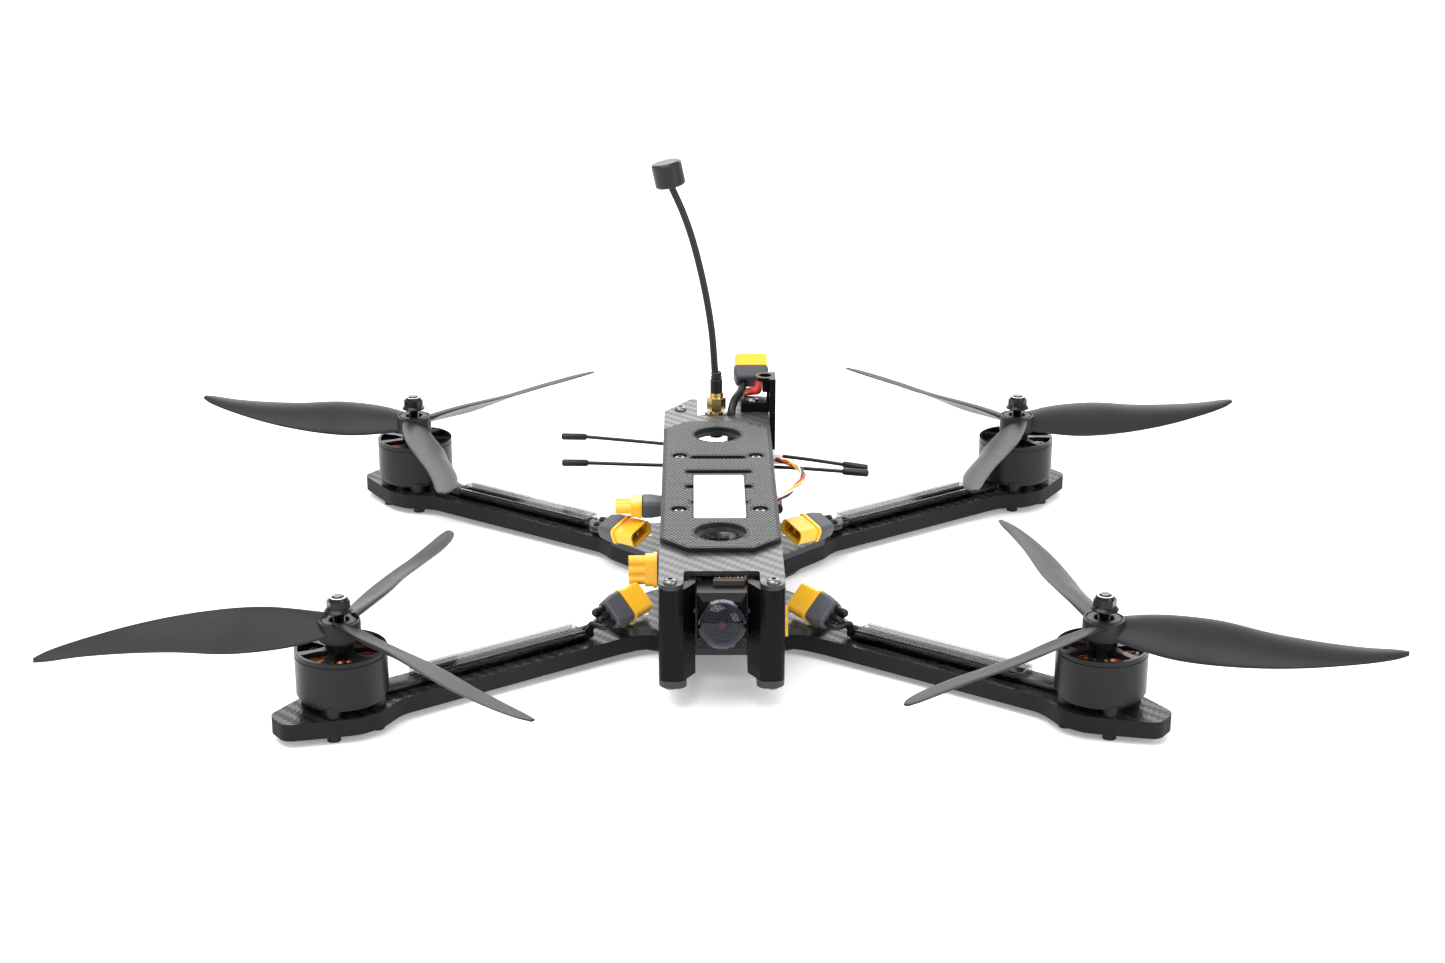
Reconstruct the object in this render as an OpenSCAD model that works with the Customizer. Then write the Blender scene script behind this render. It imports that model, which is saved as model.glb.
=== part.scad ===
// Long-range quadcopter: carbon frame, four outrunner motors, camera, antennas and wiring.
// Origin: centre of the bottom plate's underside. The nose points to -Y and +Z is up.
// Corner names: fl = (-X, -Y), fr = (+X, -Y), rl = (-X, +Y), rr = (+X, +Y).

/* [Frame] */
// Half the distance between the left and right motor axes
motor_x = 148; // [144:1:152]
// Half the distance between the front and rear motor axes
motor_y = 130; // [126:1:134]
// Angle between an arm and the X axis
arm_angle = 35.2; // [34.5:0.1:36]
// Thickness of the arms
arm_t = 7; // [6:0.5:7]
// Width of the arms
arm_w = 21; // [18:0.5:22]
// Thickness of the bottom and middle plates
plate_t = 3; // [3:0.5:3]
// Width of the body plates
body_w = 50; // [49:0.5:51]
// Height of the standoffs between the middle and top plates
standoff_h = 38.8; // [38:0.2:40]
// Thickness of the top plate
top_t = 2; // [2:0.1:2.4]
// Thickness of the battery pad
pad_t = 2; // [1.5:0.1:2.2]

/* [Motor] */
// Outer radius of the rotor bell
bell_r = 18; // [17.5:0.1:18]
// Height of the rotor bell
bell_h = 18.2; // [18:0.1:18.2]
// Radius of the motor shaft
shaft_r = 2.5; // [2.4:0.05:2.5]
// Number of stator teeth
teeth = 12; // [9:3:12]
// Side of the square that the motor screws form
screw_square = 19; // [18.6:0.1:19.2]

/* [Propeller] */
// Propeller radius
prop_r = 114.3; // [100:0.1:116]
// Radius of the propeller hub
hub_r = 8.3; // [7.5:0.1:9]
// Height of the propeller hub
hub_h = 8; // [7:0.1:8]

/* [Camera] */
// Width of the camera housing
cam_w = 19.6; // [19:0.1:20]
// Radius of the clear dome
dome_r = 9.9; // [9:0.1:10]

/* [Hidden] */
$fn = 64;
CORNERS = ["fl", "fr", "rl", "rr"];

// Levels
arm_z = plate_t;
mid_z = arm_z + arm_t;
deck_z = mid_z + plate_t;
top_z = deck_z + standoff_h;
pad_z = top_z + top_t;
bell_z = mid_z + 5.5;
boss_z = bell_z + bell_h;
hub_z = boss_z + 3.3;
hub_top = hub_z + hub_h;
nut_z = hub_top + 3.5;
shaft_top = nut_z + 6.4;

// Screws: M3 with button heads, M2 at the camera
m3 = 1.5;
m3_hole = 1.6;
head_r = 2.85;
head_h = 1.65;
m2 = 1;

// Places shared by several pieces
pad_screw = [17.2, 35.4];
ear_screw = [20.3, 114.6];
rear_screw = [17.2, 110.7];
stack_pitch = 30.5;
cam_axis = [0, -110, 40];
cheek_x = 10.4;
window_r = 10.8;
window_y = [-63, 66];

// ---------- Vector helpers ----------

function unit(v) = v / norm(v);
function rot_x(v, a) = [v.x, v.y * cos(a) - v.z * sin(a), v.y * sin(a) + v.z * cos(a)];
function rot_y(v, a) = [v.x * cos(a) + v.z * sin(a), v.y, v.z * cos(a) - v.x * sin(a)];
function rot_z(v, a) = [v.x * cos(a) - v.y * sin(a), v.x * sin(a) + v.y * cos(a), v.z];

// A pose is [position, azimuth, elevation, roll] of a piece built along +X.
function at(pose, v) = pose[0] + rot_z(rot_y(rot_x(v, pose[3]), -pose[2]), pose[1]);
module pose(p) {
    translate(p[0]) rotate([0, 0, p[1]]) rotate([0, -p[2], 0]) rotate([p[3], 0, 0]) children();
}

// Mirrors the first quadrant's shape into the corner whose signs are given.
module corner(sx, sy) {
    if (sx < 0 && sy < 0) rotate([0, 0, 180]) children();
    else if (sx < 0) mirror([1, 0, 0]) children();
    else if (sy < 0) mirror([0, 1, 0]) children();
    else children();
}
module each_corner() {
    for (sx = [-1, 1], sy = [-1, 1]) corner(sx, sy) children();
}
function motor_at(c) = [c[1] == "l" ? -motor_x : motor_x, c[0] == "f" ? -motor_y : motor_y, 0];
function arm_turn(c) = atan2(motor_at(c).y > 0 ? sin(arm_angle) : -sin(arm_angle),
                             motor_at(c).x > 0 ? cos(arm_angle) : -cos(arm_angle));

// ---------- Outline helpers ----------

// Rounds the corners of a polygon, each entry of p being [x, y, radius].
function rounded(p, steps = 5) = [
    for (i = [0 : len(p) - 1])
        let(a = p[(i + len(p) - 1) % len(p)], b = p[i], c = p[(i + 1) % len(p)],
            b2 = [b.x, b.y], u = unit([a.x, a.y] - b2), v = unit([c.x, c.y] - b2),
            half = acos(u * v) / 2, r = b.z, turn = u.x * v.y - u.y * v.x < 0 ? 1 : -1,
            mid = b2 + unit(u + v) * r / sin(half), start = b2 + u * r / tan(half) - mid)
        for (k = [0 : r > 0 ? steps : 0])
            let(w = turn * (180 - 2 * half) * k / steps)
            r > 0 ? mid + [start.x * cos(w) - start.y * sin(w), start.x * sin(w) + start.y * cos(w)]
                  : b2];
module rounded_plate(p, z, h, steps = 5) {
    translate([0, 0, z]) linear_extrude(h) polygon(rounded(p, steps));
}
function box_outline(w, d, r) = [[-w/2, -d/2, r], [w/2, -d/2, r], [w/2, d/2, r], [-w/2, d/2, r]];

// ---------- Swept shapes ----------

// Joins closed rings of points into one solid; each ring turns right-handed about the path.
module loft(rings) {
    n = len(rings[0]);
    last = len(rings) - 1;
    points = [for (ring = rings) for (p = ring) p];
    sides = [for (i = [0 : last - 1], k = [0 : n - 1])
        let(a = i * n + k, b = i * n + (k + 1) % n)
        each [[a, a + n, b + n], [a, b + n, b]]];
    caps = [[for (k = [0 : n - 1]) k], [for (k = [n - 1 : -1 : 0]) last * n + k]];
    polyhedron(points, concat(sides, caps));
}
function spline(p, steps) = concat(
    [for (i = [0 : len(p) - 2], k = [0 : steps - 1])
        let(a = p[max(i - 1, 0)], b = p[i], c = p[i + 1], d = p[min(i + 2, len(p) - 1)], t = k / steps)
        0.5 * (2 * b + (c - a) * t + (2 * a - 5 * b + 4 * c - d) * t * t
               + (3 * b - a - 3 * c + d) * t * t * t)],
    [p[len(p) - 1]]);
function along(path, i) = unit(path[min(i + 1, len(path) - 1)] - path[max(i - 1, 0)]);
module tube(path, r, sides = 8, ref = [0.13, 0.21, 1]) {
    loft([for (i = [0 : len(path) - 1])
        let(t = along(path, i), u = unit(cross(t, ref)), v = cross(t, u))
        [for (k = [0 : sides - 1])
            path[i] + r * (cos(360 * k / sides) * u + sin(360 * k / sides) * v)]]);
}

// ---------- Screws ----------

// Button-head screw standing on z = 0 with its shank below.
module button_screw(length) {
    difference() {
        union() {
            cylinder(r = head_r, h = 0.5);
            translate([0, 0, 0.5]) rotate_extrude()
                polygon([[0, 0], [head_r, 0], [2.55, 0.55], [1.9, 0.95], [1.1, head_h - 0.5], [0, head_h - 0.5]]);
            translate([0, 0, -length]) cylinder(r = m3, h = length);
        }
        translate([0, 0, 0.5]) linear_extrude(2) circle(1.15, $fn = 6);
    }
}
// Countersunk screw whose head is flush with z = 0 and whose shank rises.
module sunk_screw(length) {
    difference() {
        union() {
            rotate_extrude() polygon([[0, 0], [3, 0], [m3, 1.6], [0, 1.6]]);
            cylinder(r = m3, h = length);
        }
        translate([0, 0, -0.5]) linear_extrude(1.5) circle(1.1, $fn = 6);
    }
}

// ---------- Frame ----------

// Outline of a wing of the middle plate, in the first quadrant.
WING = [[0, 64, 0], [26, 64, 0], [34, 64, 4], [37.5, 65.4, 2], [42, 61.8, 2], [50.2, 47.2, 3],
        [49.2, 42.2, 3], [28.5, 20.2, 6], [20, 19, 0], [0, 19, 0]];
// Outline of an arm, in the arm's own frame: x outward from the motor axis.
function arm_outline(s) = [[29, -6, 5], [20, -10, 6], [11, -13.8, 8], [2, -17.2, 12], [-8, -16.8, 10],
    [-20, -arm_w/2, 14], [-121, -arm_w/2, 5]];
function arm_root() = [[52, 47.4, 3], [49, 42, 2], [30, 21.2, 3], [0.3, 21.2, 0], [0.3, 59.5, 0],
    [16, 60.5, 5], [27, 61.6, 8], [35, 64, 5]];
function to_body(p) = [motor_x + p.x * cos(arm_angle) - p.y * sin(arm_angle),
                       motor_y + p.x * sin(arm_angle) + p.y * cos(arm_angle), p.z];
function flip_y(p) = [p.x, -p.y, p.z];
ARM = let(low = arm_outline(), high = [for (i = [len(low) - 1 : -1 : 0]) flip_y(low[i])])
    concat([for (i = [len(low) - 1 : -1 : 0]) to_body(low[i])],
           [for (i = [len(high) - 1 : -1 : 0]) to_body(high[i])],
           [for (i = [len(arm_root()) - 1 : -1 : 0]) arm_root()[i]]);

arm_bolt = [31.5, 47.5];

module arm(c) {
    color("#2b2b2e") corner(sign(motor_at(c).x), sign(motor_at(c).y)) difference() {
        rounded_plate(ARM, arm_z, arm_t);
        for (p = [pad_screw, arm_bolt])
            translate([p.x, p.y, 0]) cylinder(r = m3_hole, h = mid_z + 1);
        translate([motor_x, motor_y, 0]) rotate([0, 0, arm_angle]) {
            cylinder(r = 5, h = mid_z + 1);
            for (sx = [-1, 1], sy = [-1, 1])
                translate([sx, sy, 0] * screw_square / 2) cylinder(r = m3_hole, h = mid_z + 1);
        }
    }
}

module bottom_plate() {
    outline = [[19, 61, 4], [33, 55, 4], [41, 44, 4], [35, 31, 4], [24, 18, 6]];
    right = concat([for (p = outline) p], [for (i = [4 : -1 : 0]) flip_y(outline[i])]);
    left = [for (p = right) [-p.x, -p.y, p.z]];
    color("#303033") difference() {
        rounded_plate(concat(right, left), 0, plate_t);
        each_corner() for (p = [pad_screw, arm_bolt]) translate([p.x, p.y, -1]) {
            cylinder(r = m3_hole, h = plate_t + 2);
            translate([0, 0, 1]) rotate_extrude() polygon([[0, -1], [3, -1], [3, 0], [m3, 1.6], [0, 1.6]]);
        }
    }
}

// Body strip of the middle plate, from its front ears to its rear end.
module middle_strip() {
    rounded_plate([[-25, -118.6, 5], [-13.9, -118.6, 4], [-13.9, -85, 3], [13.9, -85, 3],
        [13.9, -118.6, 4], [25, -118.6, 5], [25, -69, 0], [26.5, -65.5, 1.5], [30, -63, 0], [30, -50, 0],
        [25, -30, 0], [25, 106, 0], [13, 120, 4], [-13, 120, 4], [-25, 106, 0], [-25, -30, 0],
        [-30, -50, 0], [-30, -63, 0], [-26.5, -65.5, 1.5], [-25, -69, 0]], mid_z, plate_t);
}
module middle_plate() {
    color("#38383b") difference() {
        union() {
            middle_strip();
            each_corner() rounded_plate(WING, mid_z, plate_t);
        }
        translate([0, 0, mid_z - 1]) {
            each_corner() for (p = [pad_screw, arm_bolt])
                translate([p.x, p.y, 0]) cylinder(r = m3_hole, h = plate_t + 2);
            for (sx = [-1, 1]) {
                translate([sx * ear_screw.x, -ear_screw.y, 0]) cylinder(r = m3_hole, h = plate_t + 2);
                translate([sx * rear_screw.x, rear_screw.y, 0]) cylinder(r = m3_hole, h = plate_t + 2);
            }
            for (sx = [-1, 1], sy = [-1, 1])
                translate([sx, sy, 0] * stack_pitch / 2) cylinder(r = m3_hole, h = plate_t + 2);
        }
        rounded_plate(box_outline(18, 18, 4), mid_z - 1, plate_t + 2);
        translate([0, 90, 0]) rounded_plate(box_outline(24, 10, 4), mid_z - 1, plate_t + 2);
    }
}

module top_plate() {
    e = body_w / 2;
    ear = [[e, 108, 3], [12.5, 128, 2], [9, 128, 1.5], [9, 101, 1.5]];
    color("#4a4b4e") difference() {
        rounded_plate(concat(
            [[-e, -119, 5], [-15.1, -119, 4.8], [-15.1, -102.4, 1.5], [15.1, -102.4, 1.5],
             [15.1, -119, 4.8], [e, -119, 5]], ear,
            [for (i = [3 : -1 : 0]) [-ear[i].x, ear[i].y, ear[i].z]]), top_z, top_t);
        translate([0, 0, top_z - 1]) {
            each_corner() translate([pad_screw.x, pad_screw.y, 0]) cylinder(r = m3_hole, h = top_t + 2);
            for (sx = [-1, 1]) {
                translate([sx * ear_screw.x, -ear_screw.y, 0]) cylinder(r = m3_hole, h = top_t + 2);
                translate([sx * rear_screw.x, rear_screw.y, 0]) cylinder(r = m3_hole, h = top_t + 2);
            }
            for (y = window_y) translate([0, y, 0]) cylinder(r = window_r - 0.4, h = top_t + 2);
        }
        strap_slots(top_z - 1, top_t + 2, 0.3);
    }
}

// Strap slots as [centre y, length].
SLOTS = [[32.9, 25], [13, 29.5], [-6.8, 29.5], [-27, 24.5]];
module strap_slots(z, h, shrink) {
    for (s = SLOTS) translate([0, s[0], 0])
        rounded_plate(box_outline(s[1] - shrink, 4.2 - shrink, 1.9), z, h);
}

module battery_pad() {
    e = 24.9;
    color("#5d5f62") difference() {
        rounded_plate([[-e, -69.8, 1], [-13.4, -82, 1], [13.4, -82, 1], [e, -69.8, 1],
            [e, 74.3, 1], [13.4, 86, 1], [-13.4, 86, 1], [-e, 74.3, 1]], pad_z, pad_t, 3);
        each_corner() translate([pad_screw.x, pad_screw.y, pad_z - 1]) cylinder(r = 3.3, h = pad_t + 2);
        for (y = window_y) translate([0, y, pad_z - 1]) cylinder(r = window_r, h = pad_t + 2);
        strap_slots(pad_z - 1, pad_t + 2, 0);
        label_sheet(0.1, 1);
    }
}
label_t = 0.2;
// The label, pressed into the pad until it is flush.
module label_sheet(spare, above) {
    translate([0, -19, 0])
        rounded_plate(box_outline(22 + 2 * spare, 55 + 2 * spare, 1.2), pad_z + pad_t - label_t, label_t + above, 3);
}
module label() { color("#f2f2f0") label_sheet(0, 0); }

module standoff() {
    difference() {
        cylinder(r = 2.5, h = standoff_h);
        translate([0, 0, -1]) cylinder(r = m3, h = 9);
        translate([0, 0, standoff_h - 8]) cylinder(r = m3, h = 9);
        for (z = [standoff_h * 0.36, standoff_h * 0.56])
            translate([0, 0, z]) rotate_extrude() translate([2.2, 0]) square([1, 3]);
    }
}
module standoffs() {
    color("#1d1d20") translate([0, 0, deck_z]) {
        each_corner() translate([pad_screw.x, pad_screw.y, 0]) standoff();
        for (sx = [-1, 1]) translate([sx * rear_screw.x, rear_screw.y, 0]) standoff();
    }
}

// Ribbed front post and the cheek that carries one side of the camera.
module camera_mount() {
    post = [[25, -108.8, 2], [25, -118.3, 3], [17.2, -118.3, 1.5], [15.2, -117.4, 0.5],
            [cheek_x, -109.6, 1], [cheek_x, -92, 0], [12.9, -92, 0], [12.9, -107.4, 2], [17.4, -108.8, 1]];
    difference() {
        rounded_plate(post, deck_z, standoff_h, 3);
        for (x = [18.9, 20.3, 21.7, 23.1])
            translate([x, -118.75, deck_z - 1]) cylinder(r = 0.62, h = standoff_h + 2, $fn = 24);
        translate([ear_screw.x, -ear_screw.y, deck_z - 1]) cylinder(r = m3, h = standoff_h + 2);
        translate(cam_axis) rotate([0, 90, 0]) cylinder(r = m2 + 0.06, h = 16);
        translate([cheek_x + 2.5, cam_axis.y, cam_axis.z]) rotate([0, 90, 0]) cylinder(r = 2.3, h = 14);
    }
}
module camera_mount_right() { color("#1b1b1d") camera_mount(); }
module camera_mount_left() { color("#1b1b1d") mirror([1, 0, 0]) camera_mount(); }

module frame_screws() {
    color("#b9b7b0") {
        each_corner() {
            translate([pad_screw.x, pad_screw.y, pad_z]) button_screw(top_t + 6);
            translate([pad_screw.x, pad_screw.y, 0]) sunk_screw(deck_z + 6);
            translate([arm_bolt.x, arm_bolt.y, 0]) sunk_screw(deck_z);
        }
        for (sx = [-1, 1]) {
            translate([sx * ear_screw.x, -ear_screw.y, pad_z]) button_screw(14);
            translate([sx * ear_screw.x, -ear_screw.y, mid_z]) rotate([180, 0, 0]) button_screw(14);
            translate([sx * rear_screw.x, rear_screw.y, mid_z]) rotate([180, 0, 0]) button_screw(9);
        }
        translate([-rear_screw.x, rear_screw.y, pad_z]) button_screw(top_t + 6);
        translate([rear_screw.x, rear_screw.y, pad_z + bracket_t]) button_screw(top_t + bracket_t + 6);
    }
}

// ---------- Motors ----------

module at_motors() {
    for (c = CORNERS) translate(motor_at(c)) rotate([0, 0, arm_turn(c)]) children();
}
bearing_r = 5;
base_top = bell_z - 0.5;

module motor_base() {
    difference() {
        union() {
            translate([0, 0, base_top - 1.6]) cylinder(r = 16.6, h = 1.6);
            translate([0, 0, mid_z]) cylinder(r = 7, h = base_top - mid_z);
            translate([0, 0, mid_z]) cylinder(r = bearing_r, h = 21);
            for (sx = [-1, 1], sy = [-1, 1])
                translate([sx * screw_square / 2, sy * screw_square / 2, mid_z])
                    cylinder(r = 3.7, h = base_top - mid_z);
        }
        translate([0, 0, mid_z - 1]) cylinder(r = shaft_r + 0.05, h = 30);
        for (sx = [-1, 1], sy = [-1, 1])
            translate([sx * screw_square / 2, sy * screw_square / 2, mid_z - 1]) cylinder(r = m3, h = 8);
        for (a = [0, 90, 180, 270]) rotate([0, 0, a])
            translate([11.5, 0, base_top - 3]) cylinder(r = 3, h = 4);
    }
}
module motor_bases() { color("#1a1a1c") at_motors() motor_base(); }

module motor_screws() {
    color("#17171a") at_motors() for (sx = [-1, 1], sy = [-1, 1])
        translate([sx * screw_square / 2, sy * screw_square / 2, 0]) difference() {
            union() {
                cylinder(r = 2.75, h = arm_z);
                cylinder(r = m3, h = base_top - 1.2);
            }
            translate([0, 0, -1]) linear_extrude(2.6) circle(1.45, $fn = 6);
        }
}

// Laminated core: a ring with T-shaped teeth.
stack_z = bell_z + 2;
stack_h = 12.4;
module stators() {
    color("#6f7477") at_motors() translate([0, 0, stack_z]) linear_extrude(stack_h) difference() {
        union() {
            circle(6.9);
            for (i = [0 : teeth - 1]) rotate(i * 360 / teeth) {
                translate([6, -1]) square([8, 2]);
                translate([13.3, -2.9]) square([1.2, 5.8]);
            }
        }
        circle(bearing_r);
    }
}
module windings() {
    color("#b4602a") at_motors() translate([0, 0, stack_z - 1]) linear_extrude(stack_h + 1.6)
        for (i = [0 : teeth - 1]) rotate(i * 360 / teeth) difference() {
            polygon([[7.3, -1.75], [12.9, -3.15], [12.9, 3.15], [7.3, 1.75]]);
            translate([0, -1.02]) square([20, 2.04]);
        }
}

magnets = 14;
module bell() {
    lip = 1.6;
    difference() {
        union() {
            difference() {
                translate([0, 0, bell_z]) cylinder(r = bell_r, h = bell_h, $fn = 96);
                translate([0, 0, bell_z - 1]) cylinder(r = bell_r - 1.4, h = bell_h + 2, $fn = 96);
                translate([0, 0, boss_z - lip - 0.6]) rotate_extrude($fn = 96)
                    translate([bell_r - 0.35, 0]) square([1, 0.6]);
            }
            translate([0, 0, bell_z + 1.5]) linear_extrude(13) difference() {
                circle(bell_r - 1.3);
                circle(15.1);
                for (i = [0 : magnets - 1]) rotate(i * 360 / magnets) translate([15, -0.35]) square([1.3, 0.7]);
            }
            translate([0, 0, boss_z - 2.2]) linear_extrude(2.2) for (i = [0 : 6]) rotate(i * 360 / 7)
                polygon([[4, -2.6], [10, -1.3], [17.2, -2], [17.2, 2], [10, 1.3], [4, 2.6]]);
            translate([0, 0, boss_z - 2.2]) cylinder(r = 5.8, h = 2.2 + hub_z - boss_z);
        }
        translate([0, 0, boss_z - 5]) cylinder(r = shaft_r, h = 15);
    }
}
module shaft() {
    translate([0, 0, mid_z + 0.6]) cylinder(r = shaft_r, h = shaft_top - mid_z - 1.4);
    translate([0, 0, shaft_top - 0.8]) rotate_extrude()
        polygon([[0, 0], [shaft_r, 0], [shaft_r - 0.6, 0.8], [0, 0.8]]);
}
module nut() {
    translate([0, 0, nut_z]) difference() {
        union() {
            rotate_extrude() polygon([[0, 0], [5.5, 0], [5.5, 0.5], [4.4, 1.5], [0, 1.5]]);
            linear_extrude(4.6) circle(4.62, $fn = 6);
            translate([0, 0, 4.6]) rotate_extrude() polygon([[0, 0], [4, 0], [3.5, 1.3], [0, 1.3]]);
        }
        translate([0, 0, -1]) cylinder(r = shaft_r, h = 8);
    }
}

// Height of the blades' roots
blade_z = hub_top - 3;
// Blade stations: fraction of the tip radius, chord, pitch angle, mid chord's offset ahead and rise.
BLADE = [[0.06, 13, 26, 0, -1.2], [0.16, 18.5, 29, -0.6, -1.2], [0.27, 22.2, 29, -1.3, -1.5],
         [0.4, 22.4, 28.6, -1.6, -1.8], [0.55, 19.2, 24.5, -3.3, -1.9], [0.7, 15.4, 20.5, -4.1, -1.1],
         [0.85, 11, 15, -3.1, 0.1], [0.95, 7.4, 12.5, -1.2, 1.2], [1, 3, 12, 0.3, 1.8]];
root_t = 3.4;
tip_t = 1;
camber = 0.06;
function blade_ring(s) = let(r = s[0] * prop_r, c = s[1], b = s[2], t = root_t + (tip_t - root_t) * s[0])
    [for (k = [0 : 11])
        let(u = c / 2 * cos(30 * k), v = t / 2 * sin(30 * k) + camber * c * pow(sin(30 * k), 2),
            y = s[3] + u * cos(b) - v * sin(b))
        [sqrt(max(r * r - y * y, 4)), y, s[4] + u * sin(b) + v * cos(b)]];
module blades() {
    for (i = [0 : 2]) rotate([0, 0, 120 * i]) loft([for (s = spline(BLADE, 2)) blade_ring(s)]);
}
// The side is 1 for blades that push air down turning counterclockwise, else -1. The face is -1 upside down.
module propeller(side, face) {
    difference() {
        union() {
            translate([0, 0, hub_z]) rotate_extrude()
                polygon([[0, 0], [hub_r, 0], [hub_r, hub_h - 0.5], [hub_r - 0.5, hub_h], [0, hub_h]]);
            translate([0, 0, blade_z]) scale([1, side * face, face]) blades();
        }
        translate([0, 0, hub_z - 1]) cylinder(r = shaft_r, h = hub_h + 2);
        translate([0, 0, hub_top - 2.6]) cylinder(r = 3.9, h = 4);
        translate([0, 0, hub_top - 0.8]) rotate_extrude() translate([6.6, 0]) square([0.7, 2]);
    }
}
// Azimuth of a blade of each propeller as it stands, its side and its face. The front left one is upside down.
PROP_TURN = [194, -17, 162.5, 13];
PROP_SIDE = [-1, 1, -1, 1];
PROP_FACE = [-1, 1, 1, 1];
module propeller_at(i) {
    translate(motor_at(CORNERS[i])) rotate([0, 0, PROP_TURN[i]]) propeller(PROP_SIDE[i], PROP_FACE[i]);
}
module bell_at(i) { color("#2f3033") translate(motor_at(CORNERS[i])) bell(); }
module shaft_at(i) { color("#8d9093") translate(motor_at(CORNERS[i])) shaft(); }
module nut_at(i) { color("#202124") translate(motor_at(CORNERS[i])) nut(); }

// ---------- Motor wiring ----------

// Clear guards that hold the phase wires down along each arm.
guard_w = 10.4;
guard_h = 5.4;
guard_wall = 0.7;
guard_ends = [-108.6, -32];
module wire_guards() {
    color("#d5dde0") at_motors() translate([0, 0, mid_z]) difference() {
        translate([guard_ends[0], -guard_w/2, 0]) cube([guard_ends[1] - guard_ends[0], guard_w, guard_h]);
        translate([guard_ends[0] - 1, -guard_w/2 + guard_wall, -1])
            cube([guard_ends[1] - guard_ends[0] + 2, guard_w - 2 * guard_wall, guard_h - guard_wall + 1]);
    }
}

// Poses of the motor-lead plugs: the middle of the boot's wire end, then azimuth, elevation, roll.
PLUGS = [[[-46.6, -65.8, 19.9], 52, 3, 45], [[46.3, -67, 19.9], 128, 3, -45],
         [[-51.2, 41, 20], -40, 3, 19], [[49.6, 43, 20], 220, 3, -19]];
// Poses of the controller-lead sockets.
SOCKETS = [[[-17, -44.2, 31.6], 180, 0, 90], [[6, -80, 23], 0, 0, 60],
           [[-25, 36, 31.4], 180, 0, 0], [[22.5, 44, 22], 90, 0, 90]];
wire_r = 1.4;
pitch = 4.3;
boot_l = 9.5;
shell_l = 12;

// Height of the wires along an arm, and their spacing there and in a boot
lane_z = mid_z + wire_r + 0.15;
lane = 2.9;
boot_lane = 3.6;
// The three wires of each motor, from under the bell to the plug's boot.
function motor_route(i, k) = let(c = CORNERS[i], y = k * lane, w = -k * boot_lane,
        base = [motor_at(c), arm_turn(c), 0, 0],
        a = at(base, [-114, 0, mid_z + 3]), b = at(PLUGS[i], [-3, 0, 0]), across = unit(cross([0, 0, 1], b - a)))
    concat([at(base, [-15.2, y, lane_z]), at(base, [-108, y, lane_z])],
        spline([at(base, [-113, y, lane_z + 0.1]), (a + b) / 2 + [0, 0, 0.8] - k * 3.6 * across,
                at(PLUGS[i], [-5.5, w, 0]), at(PLUGS[i], [-1.5, w, 0])], 3),
        [at(PLUGS[i], [0, w, 0])]);
// The three wires of each controller lead, from the board to the socket's boot.
function socket_route(i, k) = let(w = k * boot_lane, p = SOCKETS[i])
    concat(spline(concat(
        i == 0 ? [[-7 + w, -18.4, 22], [-7 + w, -25, 24], [-8 + 0.7 * w, -38, 27.4 + 0.7 * w],
                  [-12, -43.4, 31.6 + w]]
        : i == 1 ? [[7 + w, -18.4, 22], [7 + w, -28, 22], [3.5 + w, -50, 21.4],
                    [-0.6 + 0.9 * w, -66, 21.6 + 0.2 * w], [-1.4 + 0.6 * w, -75.6 + 0.3 * w, 22.6 + 0.6 * w]]
        : i == 2 ? [[-18.4, 6.6 - w, 22.1], [-21.4, 7.6 - w, 22.1 + max(0, -0.6 * w)],
                    [-22.6, 12 - w, 21.6 - 0.9 * w], [-22.3, 28 + w, 21.6 - 0.86 * w], [-22.4, 34 + w, 25 - 0.5 * w]]
        : [[18.4, 6.6 - w, 22.1], [21.4, 7.6 - w, 22.1 + max(0, -0.6 * w)], [22.5, 13 - w, 22 - w],
           [22.5, 32, 22 - w]],
        [at(p, [-1.5, w * socket_turn[i], 0])]), 2), [at(p, [0, w * socket_turn[i], 0])]);
// Which way round the wires enter each socket.
socket_turn = [1, 1, -1, -1];
module phase_wires() {
    color("#161618") for (i = [0 : 3], k = [-1 : 1]) {
        tube(motor_route(i, k), wire_r);
        tube(socket_route(i, k), wire_r);
    }
}

// Rounded section of a plug or boot, across a piece built along +X.
function section(x, w, h, r) = [for (p = rounded(box_outline(w, h, r), 2)) [x, p.x, p.y]];
module boot(w, h, length) {
    loft([section(0, w * 0.86, h * 0.86, 2), section(length * 0.55, w, h, 2), section(length, w, h, 2)]);
}
module plug_boots() {
    color("#5b5e63") {
        for (p = concat(PLUGS, SOCKETS)) pose(p) boot(14, 8, boot_l);
        pose(BATTERY) boot(17, 9.4, battery_boot);
    }
}

module motor_plugs() {
    color("#f5b51c") for (p = PLUGS) pose(p) translate([boot_l, 0, 0]) rotate([90, 0, 90]) {
        linear_extrude(1.6) polygon(rounded(box_outline(14.6, 8.4, 2.4)));
        difference() {
            linear_extrude(shell_l) polygon(rounded(box_outline(13.6, 7.2, 2.2)));
            translate([0, 0, 5]) linear_extrude(shell_l) polygon(rounded(box_outline(12, 5.6, 1.6)));
        }
        for (k = [-1, 0, 1]) translate([k * pitch, 0, 1]) cylinder(r = 1, h = 9.5, $fn = 20);
    }
}
module controller_sockets() {
    color("#f5b51c") for (p = SOCKETS) pose(p) translate([boot_l, 0, 0]) rotate([90, 0, 90]) difference() {
        union() {
            linear_extrude(1.6) polygon(rounded(box_outline(14.6, 8.4, 2.4)));
            linear_extrude(5) polygon(rounded(box_outline(13.6, 7.2, 2.2)));
            for (k = [-1, 0, 1]) translate([k * pitch, 0, 1]) cylinder(r = 2.1, h = shell_l - 1);
            translate([-5, -1.4, 1]) cube([10, 2.8, shell_l - 1.6]);
        }
        for (k = [-1, 0, 1]) translate([k * pitch, 0, 3]) cylinder(r = 1.15, h = shell_l);
    }
}

// ---------- Electronics ----------

esc_z = deck_z + 6;
fc_z = deck_z + 15;
board_t = 1.6;

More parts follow.
